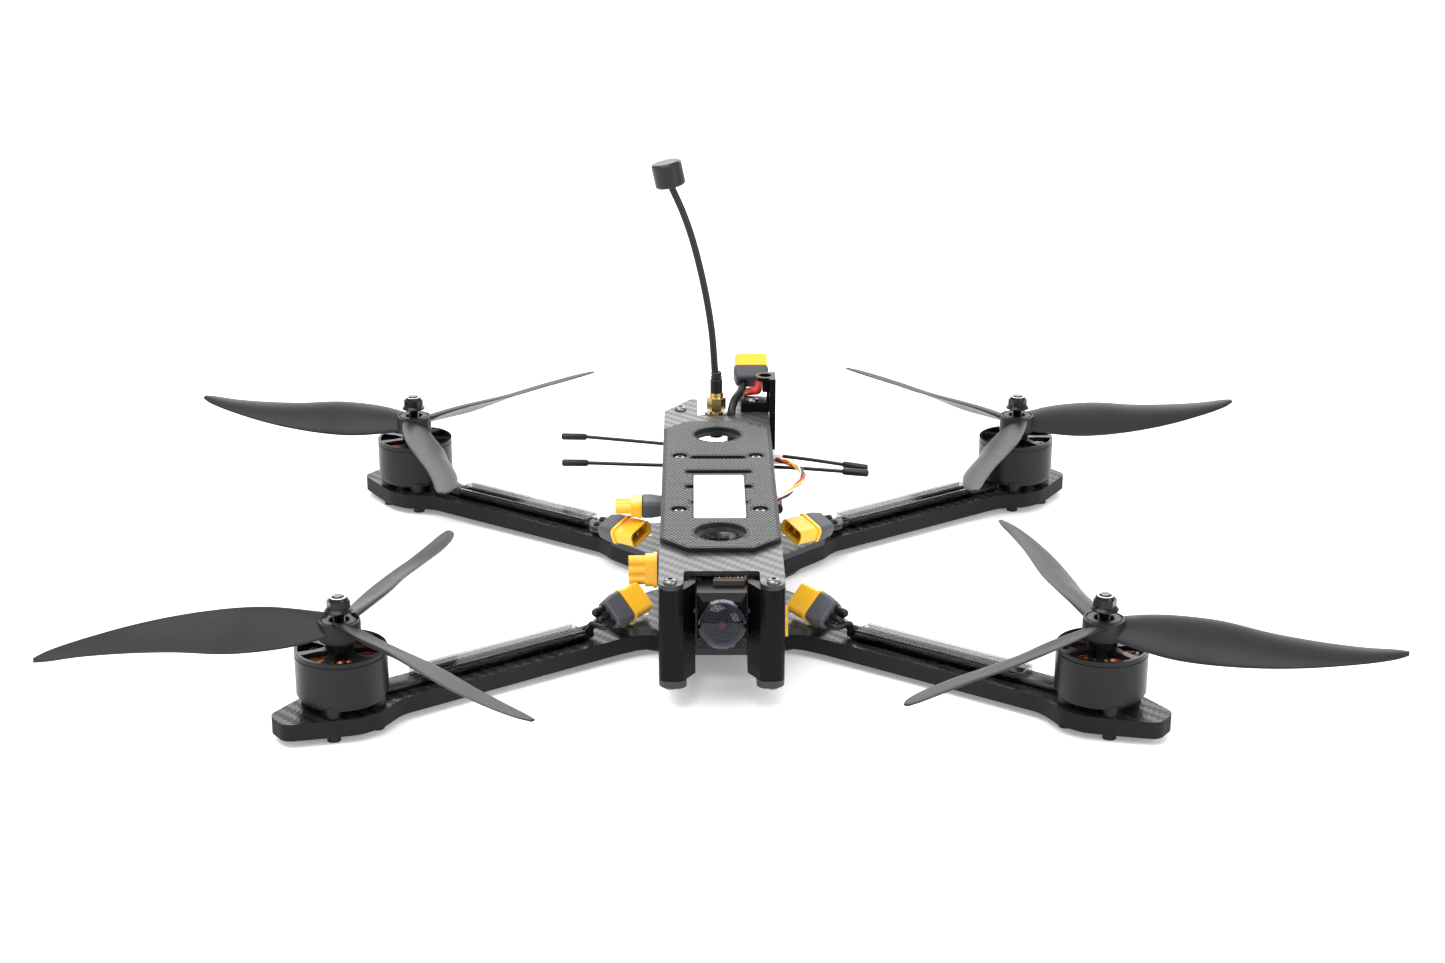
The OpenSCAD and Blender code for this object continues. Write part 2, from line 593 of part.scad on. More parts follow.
module board(w, d, z, hole) {
    difference() {
        rounded_plate(box_outline(w, d, 2), z, board_t);
        for (sx = [-1, 1], sy = [-1, 1])
            translate([sx * stack_pitch / 2, sy * stack_pitch / 2, z - 1]) cylinder(r = hole, h = board_t + 2);
    }
}
module speed_controller() {
    color("#15171a") board(40, 40, esc_z, 2);
    color("#2a2c30") for (sx = [-1, 1], y = [-11, 0, 11])
        translate([sx * 9 - 3, y - 2.5, esc_z + board_t]) cube([6, 5, 1]);
}
module flight_controller() {
    color("#17191c") board(37, 37, fc_z, 2);
    color("#303338") translate([-4.5, -4.5, fc_z + board_t]) cube([9, 9, 1.2]);
    color("#d8d4c8") for (s = [-1, 1]) translate([-6, s * 15 - 2, fc_z + board_t]) cube([12, 4, 2.6]);
}
// Screws, spacers and rubber grommets that carry the two boards.
module stack_posts() {
    color("#8d9093") for (sx = [-1, 1], sy = [-1, 1])
        translate([sx * stack_pitch / 2, sy * stack_pitch / 2, 0]) {
            translate([0, 0, mid_z - 1.6]) cylinder(r = 2.7, h = 1.6);
            translate([0, 0, mid_z - 0.1]) cylinder(r = m3, h = fc_z + 5.4 - mid_z);
            translate([0, 0, deck_z]) cylinder(r = 2.7, h = esc_z - deck_z);
            translate([0, 0, esc_z + board_t]) cylinder(r = 2.7, h = fc_z - esc_z - board_t);
            translate([0, 0, fc_z + board_t]) linear_extrude(2.4) circle(3.1, $fn = 6);
        }
}
module video_transmitter() {
    color("#3b3e42") translate([0, 78, 0]) {
        rounded_plate(box_outline(30, 22, 1.5), deck_z + 3, 6);
        for (i = [-5 : 5]) translate([i * 2.5 - 0.5, -10, deck_z + 8.9]) cube([1, 20, 1.8]);
    }
    color("#2a2c30") for (sx = [-1, 1]) translate([sx * 10, 78, deck_z]) cylinder(r = 2, h = 3.1);
}
receiver_z = top_z - 4.2;
module receiver() {
    color("#1f2225") translate([-8, 45, 0]) rounded_plate(box_outline(12, 18, 0.8), receiver_z, 4.2);
    color("#c9a24a") for (y = [42, 50]) translate([-3.4, y, receiver_z - 0.8]) cylinder(r = 1.2, h = 0.9);
}
// Two T antennas that run across the body, each from its left cap to its right cap.
dipole_z = 34.4;
DIPOLES = [[[-75.8, 128.7], [-63.1, 127.9], [-26.8, 117.4], [5.1, 106.8], [38.4, 95.2], [59.8, 85.4],
            [71.1, 80]],
           [[-73.5, 88.6], [-60.2, 88.1], [-26.7, 84.7], [2.7, 83.3], [32.1, 81.1], [58.1, 75.6],
            [71.1, 72.3]]];
function lift(p) = [p.x, p.y, dipole_z];
module rod(a, b, r) {
    d = b - a;
    translate(a) rotate([0, 0, atan2(d.y, d.x)]) rotate([0, 90, 0]) cylinder(r = r, h = norm(d));
}
module receiver_antennas() {
    color("#26272a") for (i = [0, 1]) {
        d = [for (p = DIPOLES[i]) lift(p)];
        tube(concat([d[0] + 2 * unit(d[1] - d[0])], spline([for (k = [1 : 5]) d[k]], 2),
                    [d[6] + 2 * unit(d[5] - d[6])]), 0.9);
        rod(d[0], d[1], 1.7);
        rod(d[5], d[6], 1.7);
        rod(d[3] - 5 * unit(d[4] - d[2]), d[3] + 5 * unit(d[4] - d[2]), 2);
        socket = [-3.4, 50 - 8 * i, receiver_z - 0.8];
        tube(concat(spline([d[3] + [0, 0, 1], d[3] + [-1, -3, 5], [-3.4 - 3.4 * i, 60, 42.4],
                            socket - [0, 0, 2]], 2), [socket]), 0.6, 6, [1, 0, 0]);
    }
}
module capacitor() {
    color("#1c1d20") translate([26.9, 27, 33]) rotate([-90, 0, 0]) {
        cylinder(r = 2.4, h = 11);
        for (s = [-1, 1]) translate([s * 1, 0, 11]) cylinder(r = 0.3, h = 4, $fn = 16);
    }
}

// ---------- Video antenna ----------

coax = [0, 112];
coax_z = pad_z - 4.8;
module antenna_mount() {
    color("#161618") difference() {
        union() {
            translate([0, coax.y, 0]) rounded_plate(box_outline(17.2, 11.6, 2.5), coax_z - 5, 5);
            translate([0, 110.7, 0]) rounded_plate(box_outline(44, 9, 3), coax_z - 5, 3);
        }
        translate([coax.x, coax.y, coax_z - 6]) cylinder(r = 3.3, h = 8);
        for (sx = [-1, 1]) translate([sx * rear_screw.x, rear_screw.y, coax_z - 6]) cylinder(r = 2.6, h = 8);
    }
}
module coax_connector() {
    translate([coax.x, coax.y, coax_z]) difference() {
        union() {
            color("#1a1a1c") linear_extrude(3) circle(5.6, $fn = 6);
            color("#d4a94e") {
                translate([0, 0, -9]) cylinder(r = 3.2, h = 9);
                translate([0, 0, 3]) cylinder(r = 3.3, h = 1.4);
                translate([0, 0, 4.4]) linear_extrude(6.4) circle(4.6, $fn = 6);
                translate([0, 0, 10.8]) cylinder(r = 3.4, h = 2.4);
            }
        }
        translate([0, 0, -10]) cylinder(r = 1.2, h = 4);
    }
}
// Route of the bent stem, from the top of the connector to the cap.
stem_base = coax_z + 13.2;
STEM = [[0, 112, stem_base], [0, 112, stem_base + 3], [-0.6, 112, 71], [-2.2, 112.5, 92], [-5.6, 113, 113],
        [-10.6, 114, 134], [-15.6, 115, 149], [-21.2, 116, 161.6]];
stem_r = 1.7;
module antenna_stem() {
    color("#18181a") {
        tube(concat([STEM[0]], spline([for (i = [1 : len(STEM) - 1]) STEM[i]], 3)), stem_r, 12, [0, 1, 0.02]);
        translate(STEM[0]) cylinder(r = 2.9, h = 7.4);
        for (i = [0 : 3]) translate([0, coax.y, stem_base + 0.8 + i * 1.8]) cylinder(r = 3.15, h = 0.9);
        translate([0, coax.y, stem_base + 7.3]) cylinder(r = 2.4, h = 3);
    }
}
cap_tilt = 12;
module antenna_cap() {
    color("#1e1e20") translate([-21.4, 116, 162]) rotate([0, -cap_tilt, 0]) rotate_extrude()
        polygon([[0, 0], [6.4, 0], [7.2, 0.8], [7.2, 10.6], [6.4, 11.6], [0, 11.6]]);
}

// ---------- Rear bracket, battery lead and signal lead ----------

bracket_t = 4.5;
ring_z = 70.8;
module rear_bracket() {
    color("#1c1c1e") difference() {
        union() {
            rounded_plate([[11.7, 106.6, 0.5], [25.3, 106.6, 0], [25.3, 117, 0], [20, 118.5, 0.5],
                [11.7, 118.5, 0.5]], pad_z, bracket_t, 2);
            translate([25.3, 104, 34]) cube([3, 13, ring_z - 34]);
            rounded_plate([[18.8, 106.5, 4], [28.3, 106.5, 0], [28.3, 117, 0], [18.8, 117, 4]],
                ring_z - 1.8, 1.8);
            translate([22.2, 112.4, 62]) cube([4, 1.6, ring_z - 62.4]);
            translate([24.2, 112.4, pad_z + bracket_t - 0.5]) cube([2, 1.6, ring_z - pad_z - bracket_t]);
        }
        translate([rear_screw.x, rear_screw.y, pad_z - 1]) cylinder(r = m3_hole, h = bracket_t + 2);
        translate([23.4, 111.4, ring_z - 3]) cylinder(r = 3, h = 5);
    }
}

// Battery plug: pose of its boot's wire end.
BATTERY = [[16.9, 121, 64.4], 90, 33, 0];
battery_boot = 7.5;
lead_r = 2;
lead_pitch = 7.2;
BLACK = [[4.5, 21, 22], [4.5, 38, 26], [4.5, 66, 28.2], [4.8, 90, 28.2], [5.8, 98.6, 31], [7, 102.4, 40],
         [7, 103.2, 51], [7.2, 104.2, 55.4], [8.8, 108.4, 59.4], [11.4, 113.6, 61.6]];
RED = [[11.5, 21, 22], [11.5, 38, 26], [11, 66, 28.6], [10.6, 98, 28.4], [10.6, 116, 30], [11, 128, 37],
       [11.2, 130.8, 45], [11.8, 131, 51], [12.8, 129, 55.4], [15, 123, 58.8], [17.8, 117.4, 61.1], [20, 116.6, 61.8]];
module battery_lead(points, side) {
    tube(concat(spline(concat(points, [at(BATTERY, [-1, side * lead_pitch/2, 0])]), 3),
        [at(BATTERY, [0, side * lead_pitch/2, 0])]), lead_r, 8, [1, 0.1, 0]);
}
module battery_lead_black() { color("#202022") battery_lead(BLACK, 1); }
module battery_lead_red() { color("#c22a1e") battery_lead(RED, -1); }
module battery_plug() {
    color("#f5b51c") pose(BATTERY) translate([battery_boot, 0, 0]) rotate([90, 0, 90]) difference() {
        union() {
            linear_extrude(1.2) polygon(rounded(box_outline(16.4, 8.8, 2)));
            linear_extrude(7.4)
                polygon(rounded([[-7.9, -4.05, 1], [7.9, -4.05, 2.6], [7.9, 4.05, 2.6], [-7.9, 4.05, 1]]));
        }
        for (s = [-1, 1]) translate([s * lead_pitch / 2, 0, 1.5]) cylinder(r = 2.25, h = 12);
    }
}

module signal_plug() {
    color("#eceae2") {
        translate([25.4, 77, 37.4]) cube([5.4, 8, 4.6]);
        translate([26.2, 84.8, 38]) cube([3.8, 1.4, 3.4]);
    }
}
// Four small wires that leave the plug, bow outward and turn back under the top plate.
SIGNAL = [[28.4, 73.4, 40.6], [33, 69, 41], [38, 63.6, 40], [39.6, 56, 38.6], [37, 46, 38.4], [31, 33, 38],
          [24, 25, 36.4], [17.6, 18.8, 33.8]];
function signal_shift(i, k) = [cos(100 * i + 90 * k) * 0.95, 0, sin(100 * i + 90 * k) * 0.95];
module signal_wires() {
    for (k = [0 : 3]) let(start = [26.5 + k * 1.1, 77, 39.7])
        color(["#e2b428", "#c23022", "#1b1b1d", "#e9e7e0"][k]) tube(concat([start], spline(concat(
            [start - [0, 1, 0]], [for (i = [0 : len(SIGNAL) - 1]) SIGNAL[i] + signal_shift(i, k)]), 2)), 0.5, 6);
}

// ---------- Camera ----------

module camera_housing() {
    w = cam_w;
    color("#1d1d1f") translate(cam_axis) difference() {
        union() {
            translate([-w/2, -5.6, -w/2]) cube([w, 12.6, w]);
            loft([square_ring(-5.6, w), square_ring(-9.4, 15)]);
            translate([0, -9.4, 0]) rotate([90, 0, 0]) cylinder(r = 8.6, h = 3.4);
        }
        for (s = [0, 180])
            rotate([0, 0, s]) translate([w/2 - 3, 0, 0]) rotate([0, 90, 0]) cylinder(r = m2, h = 4);
        translate([0, 0, 0]) rotate([90, 0, 0]) cylinder(r = 6.6, h = 20);
    }
    color("#20362a") translate([cam_axis.x - 9.2, cam_axis.y + 7, cam_axis.z - 9.2]) cube([18.4, 1.2, 18.4]);
}
function square_ring(y, w) = [[-w/2, y, -w/2], [w/2, y, -w/2], [w/2, y, w/2], [-w/2, y, w/2]];
module camera_lens() {
    color("#0c0c10") translate(cam_axis) rotate([90, 0, 0]) {
        cylinder(r = 6.6, h = 12.8);
        translate([0, 0, 12.8]) rotate_extrude()
            polygon([[0, 0], [6, 0], [5, 0.9], [3.4, 1.6], [1.6, 2], [0, 2.1]]);
    }
}
// Thin clear cover: a short collar and a shallow dome.
module camera_dome() {
    color("#cfdde6") translate([cam_axis.x, cam_axis.y - 12.8, cam_axis.z]) rotate([90, 0, 0])
        rotate_extrude() polygon(concat(
            [[dome_r - 0.8, 0], [dome_r, 0]],
            [for (a = [0 : 10 : 90]) [dome_r * cos(a), 2 + 6.2 * sin(a)]],
            [for (a = [90 : -10 : 0]) [(dome_r - 0.8) * cos(a), 2 + 5.4 * sin(a)]]));
}
module camera_screws() {
    color("#8f9194") for (s = [0, 180]) translate(cam_axis) rotate([0, 0, s])
        translate([cam_w/2 - 3, 0, 0]) rotate([0, 90, 0]) {
            cylinder(r = m2, h = 3 + cheek_x + 2.5 - cam_w/2 + 0.3);
            translate([0, 0, 3 + cheek_x + 2.9 - cam_w/2]) cylinder(r = 1.9, h = 1.4);
            translate([0, 0, 3 + cheek_x + 2.5 - cam_w/2]) cylinder(r = m2, h = 1);
        }
}
CAM_WIRES = ["#3a5fb0", "#e6b92a", "#8a5a2c", "#d2702a", "#2d9b8a", "#c03a2c", "#e8e6e0", "#d9c27a"];
module camera_wires() {
    color("#d6cfae") translate([-3.4, cam_axis.y + 2, cam_axis.z + cam_w/2]) cube([12.6, 3.4, 2]);
    for (k = [0 : 7]) let(x = -2.4 + k * 1.5, y = cam_axis.y + 5.4, z = cam_axis.z + cam_w/2 + 1)
        color(CAM_WIRES[k]) tube([[x, y, z], [x, y + 2.4, z - 0.1], [x - 0.2, y + 4.2, z - 2],
            [x - 0.5, y + 4.6, z - 7], [x - 0.8, y + 5.2, z - 12]], 0.5, 6, [1, 0, 0]);
}

// ---------- Nodes ----------

bottom_plate();
for (c = CORNERS) arm(c);
middle_plate();
top_plate();
battery_pad();
label();
standoffs();
camera_mount_left();
camera_mount_right();
frame_screws();
motor_screws();
motor_bases();
stators();
windings();
for (i = [0 : 3]) {
    bell_at(i);
    shaft_at(i);
    color("#6b6e72") propeller_at(i);
    nut_at(i);
}
wire_guards();
phase_wires();
motor_plugs();
controller_sockets();
plug_boots();
speed_controller();
flight_controller();
stack_posts();
video_transmitter();
receiver();
receiver_antennas();
capacitor();
antenna_mount();
coax_connector();
antenna_stem();
antenna_cap();
rear_bracket();
battery_lead_black();
battery_lead_red();
battery_plug();
signal_plug();
signal_wires();
camera_housing();
camera_lens();
camera_dome();
camera_wires();
camera_screws();
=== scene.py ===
import math

import bmesh
import bpy
from mathutils import Matrix, Vector


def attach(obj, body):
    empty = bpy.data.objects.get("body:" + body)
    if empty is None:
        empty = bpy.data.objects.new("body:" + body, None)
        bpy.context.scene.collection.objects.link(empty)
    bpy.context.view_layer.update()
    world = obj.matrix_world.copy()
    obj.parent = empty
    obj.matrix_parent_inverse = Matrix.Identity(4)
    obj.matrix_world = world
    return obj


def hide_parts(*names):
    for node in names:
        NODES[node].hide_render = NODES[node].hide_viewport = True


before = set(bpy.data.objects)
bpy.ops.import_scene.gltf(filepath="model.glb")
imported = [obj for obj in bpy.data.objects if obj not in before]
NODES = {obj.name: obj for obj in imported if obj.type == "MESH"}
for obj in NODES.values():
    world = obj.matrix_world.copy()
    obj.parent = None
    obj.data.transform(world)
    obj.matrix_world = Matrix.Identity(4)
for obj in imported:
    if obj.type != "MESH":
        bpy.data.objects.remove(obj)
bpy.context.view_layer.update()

MM = 0.001
CORNERS = ["fl", "fr", "rl", "rr"]

# ---------------------------------------------------------------- camera

cam_data = bpy.data.cameras.new("camera_view")
cam_data.sensor_fit = "HORIZONTAL"
cam_data.sensor_width = 36
cam_data.lens = 58.81
cam_data.clip_start = 0.05
camera = bpy.data.objects.new("camera_view", cam_data)
bpy.context.scene.collection.objects.link(camera)
PITCH, YAW, ROLL = 19.229, -0.753, 0.157
camera.matrix_world = (
    Matrix.Translation((-0.0112, -0.9747, 0.3957))
    @ Matrix.Rotation(math.radians(YAW), 4, "Z")
    @ Matrix.Rotation(math.radians(90 - PITCH), 4, "X")
    @ Matrix.Rotation(math.radians(ROLL), 4, "Z")
)
bpy.context.scene.camera = camera


# ---------------------------------------------------------------- small helpers

def vec(*p):
    return Vector(p)


def link(name, data, body):
    obj = bpy.data.objects.new(name, data)
    bpy.context.scene.collection.objects.link(obj)
    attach(obj, body)
    return obj


def mesh_object(name, verts, faces, material, body, smooth=35):
    mesh = bpy.data.meshes.new(name)
    mesh.from_pydata([tuple(v) for v in verts], [], faces)
    mesh.validate()
    obj = link(name, mesh, body)
    mesh.materials.append(material)
    bm = bmesh.new()
    bm.from_mesh(mesh)
    bmesh.ops.recalc_face_normals(bm, faces=bm.faces)
    limit = math.radians(smooth)
    for f in bm.faces:
        f.smooth = True
    for e in bm.edges:
        e.smooth = len(e.link_faces) == 2 and e.calc_face_angle(0) < limit
    bm.to_mesh(mesh)
    bm.free()
    return obj


class Shells:
    """Collects closed shells of points and faces for one mesh."""

    def __init__(self):
        self.v, self.f = [], []

    def add(self, verts, faces):
        n = len(self.v)
        self.v += verts
        self.f += [[i + n for i in f] for f in faces]

    def loft(self, rings, closed=False):
        n, m = len(rings[0]), len(rings)
        faces = []
        for i in range(m if closed else m - 1):
            a, b = i * n, (i + 1) % m * n
            faces += [[a + k, a + (k + 1) % n, b + (k + 1) % n, b + k] for k in range(n)]
        if not closed:
            faces += [list(range(n))[::-1], [(m - 1) * n + k for k in range(n)]]
        self.add([p for r in rings for p in r], faces)

    def lathe(self, centre, profile, steps=48):
        """Turns (radius, height) pairs round Z.

        The profile is a closed loop off the axis, or starts and ends on it.
        """
        on_axis = profile[0][0] == 0 and profile[-1][0] == 0
        body = profile[1:-1] if on_axis else profile
        rings = [[centre + vec(r * math.cos(t), r * math.sin(t), z) for t in
                  [2 * math.pi * k / steps for k in range(steps)]] for r, z in body]
        if on_axis:
            self.loft(rings)
        else:
            self.loft(rings, closed=True)


def spline(p, steps):
    """Catmull-Rom curve through the points, as part.scad draws it."""
    out = []
    for i in range(len(p) - 1):
        a, b, c, d = p[max(i - 1, 0)], p[i], p[i + 1], p[min(i + 2, len(p) - 1)]
        for k in range(steps):
            t = k / steps
            out.append(0.5 * (2 * b + (c - a) * t + (2 * a - 5 * b + 4 * c - d) * t * t
                              + (3 * b - a - 3 * c + d) * t ** 3))
    return out + [p[-1]]


def tube_rings(path, radii, sides=16, ref=(0.13, 0.21, 1)):
    rings = []
    for i, p in enumerate(path):
        t = (path[min(i + 1, len(path) - 1)] - path[max(i - 1, 0)]).normalized()
        u = t.cross(Vector(ref)).normalized()
        v = t.cross(u)
        r = radii[i] if isinstance(radii, list) else radii
        rings.append([p + r * (math.cos(2 * math.pi * k / sides) * u + math.sin(2 * math.pi * k / sides) * v)
                      for k in range(sides)])
    return rings


def curve_object(name, path, radius, material, body):
    data = bpy.data.curves.new(name, "CURVE")
    data.dimensions = "3D"
    data.bevel_depth = radius
    data.bevel_resolution = 4
    data.use_fill_caps = True
    s = data.splines.new("POLY")
    s.points.add(len(path) - 1)
    for q, p in zip(s.points, path):
        q.co = (*p, 1)
    data.materials.append(material)
    return link(name, data, body)


# ---------------------------------------------------------------- materials

class Look:
    """A Principled material with helpers for its nodes. All patterns are in millimetres of object space."""

    def __init__(self, name, colour, rough, metal=0.0, coat=0.0, coat_rough=0.1, ior=1.45, transmission=0.0,
                 spec=0.5):
        self.m = bpy.data.materials.new(name)
        self.m.use_nodes = True
        self.nt = self.m.node_tree
        self.b = self.nt.nodes["Principled BSDF"]
        put = self.b.inputs
        put["Base Color"].default_value = (*colour, 1)
        put["Roughness"].default_value = rough
        put["Metallic"].default_value = metal
        put["Coat Weight"].default_value = coat
        put["Coat Roughness"].default_value = coat_rough
        put["IOR"].default_value = ior
        put["Transmission Weight"].default_value = transmission
        put["Specular IOR Level"].default_value = spec
        self.colour, self.rough = colour, rough
        coord = self.nt.nodes.new("ShaderNodeTexCoord")
        scale = self.nt.nodes.new("ShaderNodeVectorMath")
        scale.operation = "SCALE"
        scale.inputs["Scale"].default_value = 1000
        self.nt.links.new(coord.outputs["Object"], scale.inputs[0])
        self.mm = scale.outputs[0]
        self.height = None

    def math(self, op, a, b=0.0, c=0.0):
        n = self.nt.nodes.new("ShaderNodeMath")
        n.operation = op
        for s, v in zip(n.inputs, (a, b, c)):
            if isinstance(v, (int, float)):
                s.default_value = v
            else:
                self.nt.links.new(v, s)
        return n.outputs[0]

    def axes(self, source=None):
        n = self.nt.nodes.new("ShaderNodeSeparateXYZ")
        self.nt.links.new(source or self.mm, n.inputs[0])
        return n.outputs

    def noise(self, scale, detail=3.0, stretch=None):
        n = self.nt.nodes.new("ShaderNodeTexNoise")
        n.inputs["Scale"].default_value = scale
        n.inputs["Detail"].default_value = detail
        src = self.mm
        if stretch:
            s = self.nt.nodes.new("ShaderNodeVectorMath")
            s.operation = "MULTIPLY"
            s.inputs[1].default_value = stretch
            self.nt.links.new(src, s.inputs[0])
            src = s.outputs[0]
        self.nt.links.new(src, n.inputs["Vector"])
        return n.outputs[0]

    def ramp(self, fac, low, high):
        """Maps 0..1 to low..high."""
        return self.math("MULTIPLY_ADD", fac, high - low, low)

    def mix(self, fac, a, b):
        n = self.nt.nodes.new("ShaderNodeMix")
        n.data_type = "RGBA"
        if isinstance(fac, (int, float)):
            n.inputs[0].default_value = fac
        else:
            self.nt.links.new(fac, n.inputs[0])
        for s, v in ((n.inputs[6], a), (n.inputs[7], b)):
            if isinstance(v, (tuple, list)):
                s.default_value = (*v, 1)
            else:
                self.nt.links.new(v, s)
        return n.outputs[2]

    def set(self, socket, value):
        self.nt.links.new(value, self.b.inputs[socket])
        return self

    def bump(self, height, strength=0.3, depth_mm=0.1):
        n = self.nt.nodes.new("ShaderNodeBump")
        n.inputs["Strength"].default_value = strength
        n.inputs["Distance"].default_value = depth_mm * MM
        self.nt.links.new(height, n.inputs["Height"])
        if self.height:
            self.nt.links.new(self.height, n.inputs["Normal"])
        self.height = n.outputs[0]
        self.nt.links.new(self.height, self.b.inputs["Normal"])
        return self

    def worn(self, amount=0.15, size=0.35, rough_amount=0.12, grain=3.0, strength=0.15, depth_mm=0.05):
        """Soft blotches of colour and roughness with a fine grain."""
        big = self.noise(size, 4)
        darker = [x * (1 - amount) for x in self.colour]
        lighter = [min(x * (1 + amount), 1) for x in self.colour]
        self.set("Base Color", self.mix(big, darker, lighter))
        self.set("Roughness", self.ramp(self.noise(size * 2.3, 3), max(self.rough - rough_amount, 0.03),
                                        min(self.rough + rough_amount, 1)))
        return self.bump(self.noise(grain, 2), strength, depth_mm)


def turned_rings(look, pitch=0.18, strength=0.25, depth_mm=0.02):
    """Fine lathe rings across Z."""
    z = look.axes()[2]
    wave = look.math("SINE", look.math("MULTIPLY", z, 2 * math.pi / pitch))
    return look.bump(wave, strength, depth_mm)


def carbon(name, dark, light, rough, spec, coat, tow=1.9):
    """Twill weave on the faces, its warp tows painted lighter as a painted sheen, and stacked layers on the
    edges.
    """
    look = Look(name, dark, rough, coat=coat, coat_rough=0.3, spec=spec)
    x, y, z = look.axes()
    u = look.math("DIVIDE", x, tow)
    v = look.math("DIVIDE", y, tow)
    cells = look.math("ADD", look.math("FLOOR", u), look.math("FLOOR", v))
    warp = look.math("LESS_THAN", look.math("MODULO", look.math("ADD", cells, 4000), 4), 2)
    weft = look.math("SUBTRACT", 1, warp)
    height = look.math("ADD", look.math("MULTIPLY", warp, look.math("PINGPONG", u, 0.5)),
                       look.math("MULTIPLY", weft, look.math("PINGPONG", v, 0.5)))
    # Painted sheen: the warp tows are painted lighter than the weft, with lighter streaks along each tow, in
    # place of the fibres' reflection.
    warp_painted_sheen = look.mix(look.noise(2.2, 2, (1.0, 7.0, 1.0)), light, [c * 1.5 for c in light])
    across = look.mix(look.noise(2.2, 2, (7.0, 1.0, 1.0)), dark, [c * 1.6 for c in dark])
    weave = look.mix(warp, across, warp_painted_sheen)
    layers = look.math("PINGPONG", look.math("ADD", look.math("MULTIPLY", z, 2.6), look.noise(0.5, 2)), 0.5)
    edge = look.mix(look.math("MULTIPLY", layers, 2), (0.004, 0.004, 0.0045), (0.012, 0.012, 0.0125))
    normal = look.nt.nodes.new("ShaderNodeNewGeometry")
    up = look.math("GREATER_THAN", look.math("ABSOLUTE", look.axes(normal.outputs["Normal"])[2]), 0.6)
    look.set("Base Color", look.mix(up, edge, weave))
    face_rough = look.math("MULTIPLY", up, look.ramp(warp, rough + 0.08, rough - 0.08))
    edge_rough = look.math("MULTIPLY", look.math("SUBTRACT", 1, up), 0.6)
    look.set("Roughness", look.math("ADD", face_rough, edge_rough))
    look.bump(look.math("MULTIPLY", up, height), 0.5, 0.12)
    return look.bump(look.noise(5, 2), 0.12, 0.03).m


def printed(name):
    """Printed plastic with fine layer lines."""
    layer = 0.3
    look = Look(name, (0.003, 0.003, 0.0034), 0.26, spec=0.11)
    look.worn(0.25, 0.3, 0.1, 2.5, 0.2, 0.05)
    z = look.axes()[2]
    return look.bump(look.math("PINGPONG", look.math("DIVIDE", z, layer), 0.5), 0.5, 0.08).m


def metal(name, colour, rough, coat=0.0):
    """Turned metal."""
    look = Look(name, colour, rough, metal=1.0, coat=coat)
    look.worn(0.1, 0.6, 0.08, 6, 0.08, 0.02)
    return turned_rings(look).m


def plastic(name, colour, rough, coat=0.0, amount=0.1, spec=0.5):
    return Look(name, colour, rough, coat=coat, spec=spec).worn(amount, 0.25, 0.07, 3.5, 0.15, 0.04).m


def anodised(name):
    look = Look(name, (0.0055, 0.0056, 0.0065), 0.34, metal=0.1, coat=0.05, coat_rough=0.22, spec=0.28)
    look.worn(0.3, 0.35, 0.06, 7, 0.08, 0.015)
    return turned_rings(look, 0.14, 0.12, 0.012).m


def board(name, colour):
    """Solder mask with fine tracks and small gold pads."""
    look = Look(name, colour, 0.35, coat=0.4)
    x, y, _ = look.axes()
    cell = look.nt.nodes.new("ShaderNodeTexVoronoi")
    cell.distance = "CHEBYCHEV"
    cell.inputs["Scale"].default_value = 0.55
    cell.inputs["Randomness"].default_value = 0.55
    look.nt.links.new(look.mm, cell.inputs["Vector"])
    pad = look.math("LESS_THAN", cell.outputs["Distance"], 0.16)
    tracks = look.math("LESS_THAN", look.math("PINGPONG", look.math("ADD", look.math("MULTIPLY", x, 0.9),
                       look.math("MULTIPLY", look.noise(0.18, 1), 6)), 0.5), 0.12)
    base = look.mix(look.math("MULTIPLY", tracks, 0.6), colour, [c * 2.4 + 0.02 for c in colour])
    look.set("Base Color", look.mix(pad, base, (0.55, 0.42, 0.2)))
    look.bump(pad, 0.4, 0.1)
    return look.m


def windings_look(name):
    look = Look(name, (0.62, 0.2, 0.06), 0.3, metal=0.75, coat=0.6, coat_rough=0.15)
    shade = look.noise(1.2, 3)
    look.set("Base Color", look.mix(shade, (0.4, 0.1, 0.025), (0.85, 0.32, 0.1)))
    return look.bump(look.noise(6, 2), 0.2, 0.03).m


def laminations(name):
    look = Look(name, (0.3, 0.31, 0.31), 0.42, metal=0.9)
    look.worn(0.2, 0.5, 0.1, 5, 0.1, 0.02)
    z = look.axes()[2]
    return look.bump(look.math("PINGPONG", look.math("MULTIPLY", z, 2.8), 0.5), 0.6, 0.1).m


def nylon(name):
    look = Look(name, (0.014, 0.0145, 0.0155), 0.4, coat=0.02, coat_rough=0.3, spec=0.22)
    cloud = look.noise(0.06, 5)
    look.set("Base Color", look.mix(cloud, (0.009, 0.0095, 0.0102), (0.02, 0.0208, 0.022)))
    look.set("Roughness", look.ramp(look.noise(0.4, 3), 0.34, 0.46))
    look.bump(look.noise(0.5, 3), 0.12, 0.12)
    return look.bump(look.noise(6, 2), 0.12, 0.02).m


def rubber(name, colour, rough, spec=0.4):
    look = Look(name, colour, rough, spec=spec)
    return look.worn(0.12, 0.3, 0.08, 4, 0.25, 0.05).m


def paper(name):
    look = Look(name, (0.66, 0.66, 0.645), 0.6, spec=0.3)
    look.worn(0.03, 0.2, 0.05, 6, 0.2, 0.02)
    return look.m


def clear(name, tint, rough, ior, coat):
    """Clear plastic: a tinted body that bends light little, under a faint gloss."""
    look = Look(name, tint, rough, coat=coat, coat_rough=0.12, transmission=1.0, ior=ior)
    look.set("Roughness", look.ramp(look.noise(0.5, 3), rough, rough + 0.04))
    return look.m


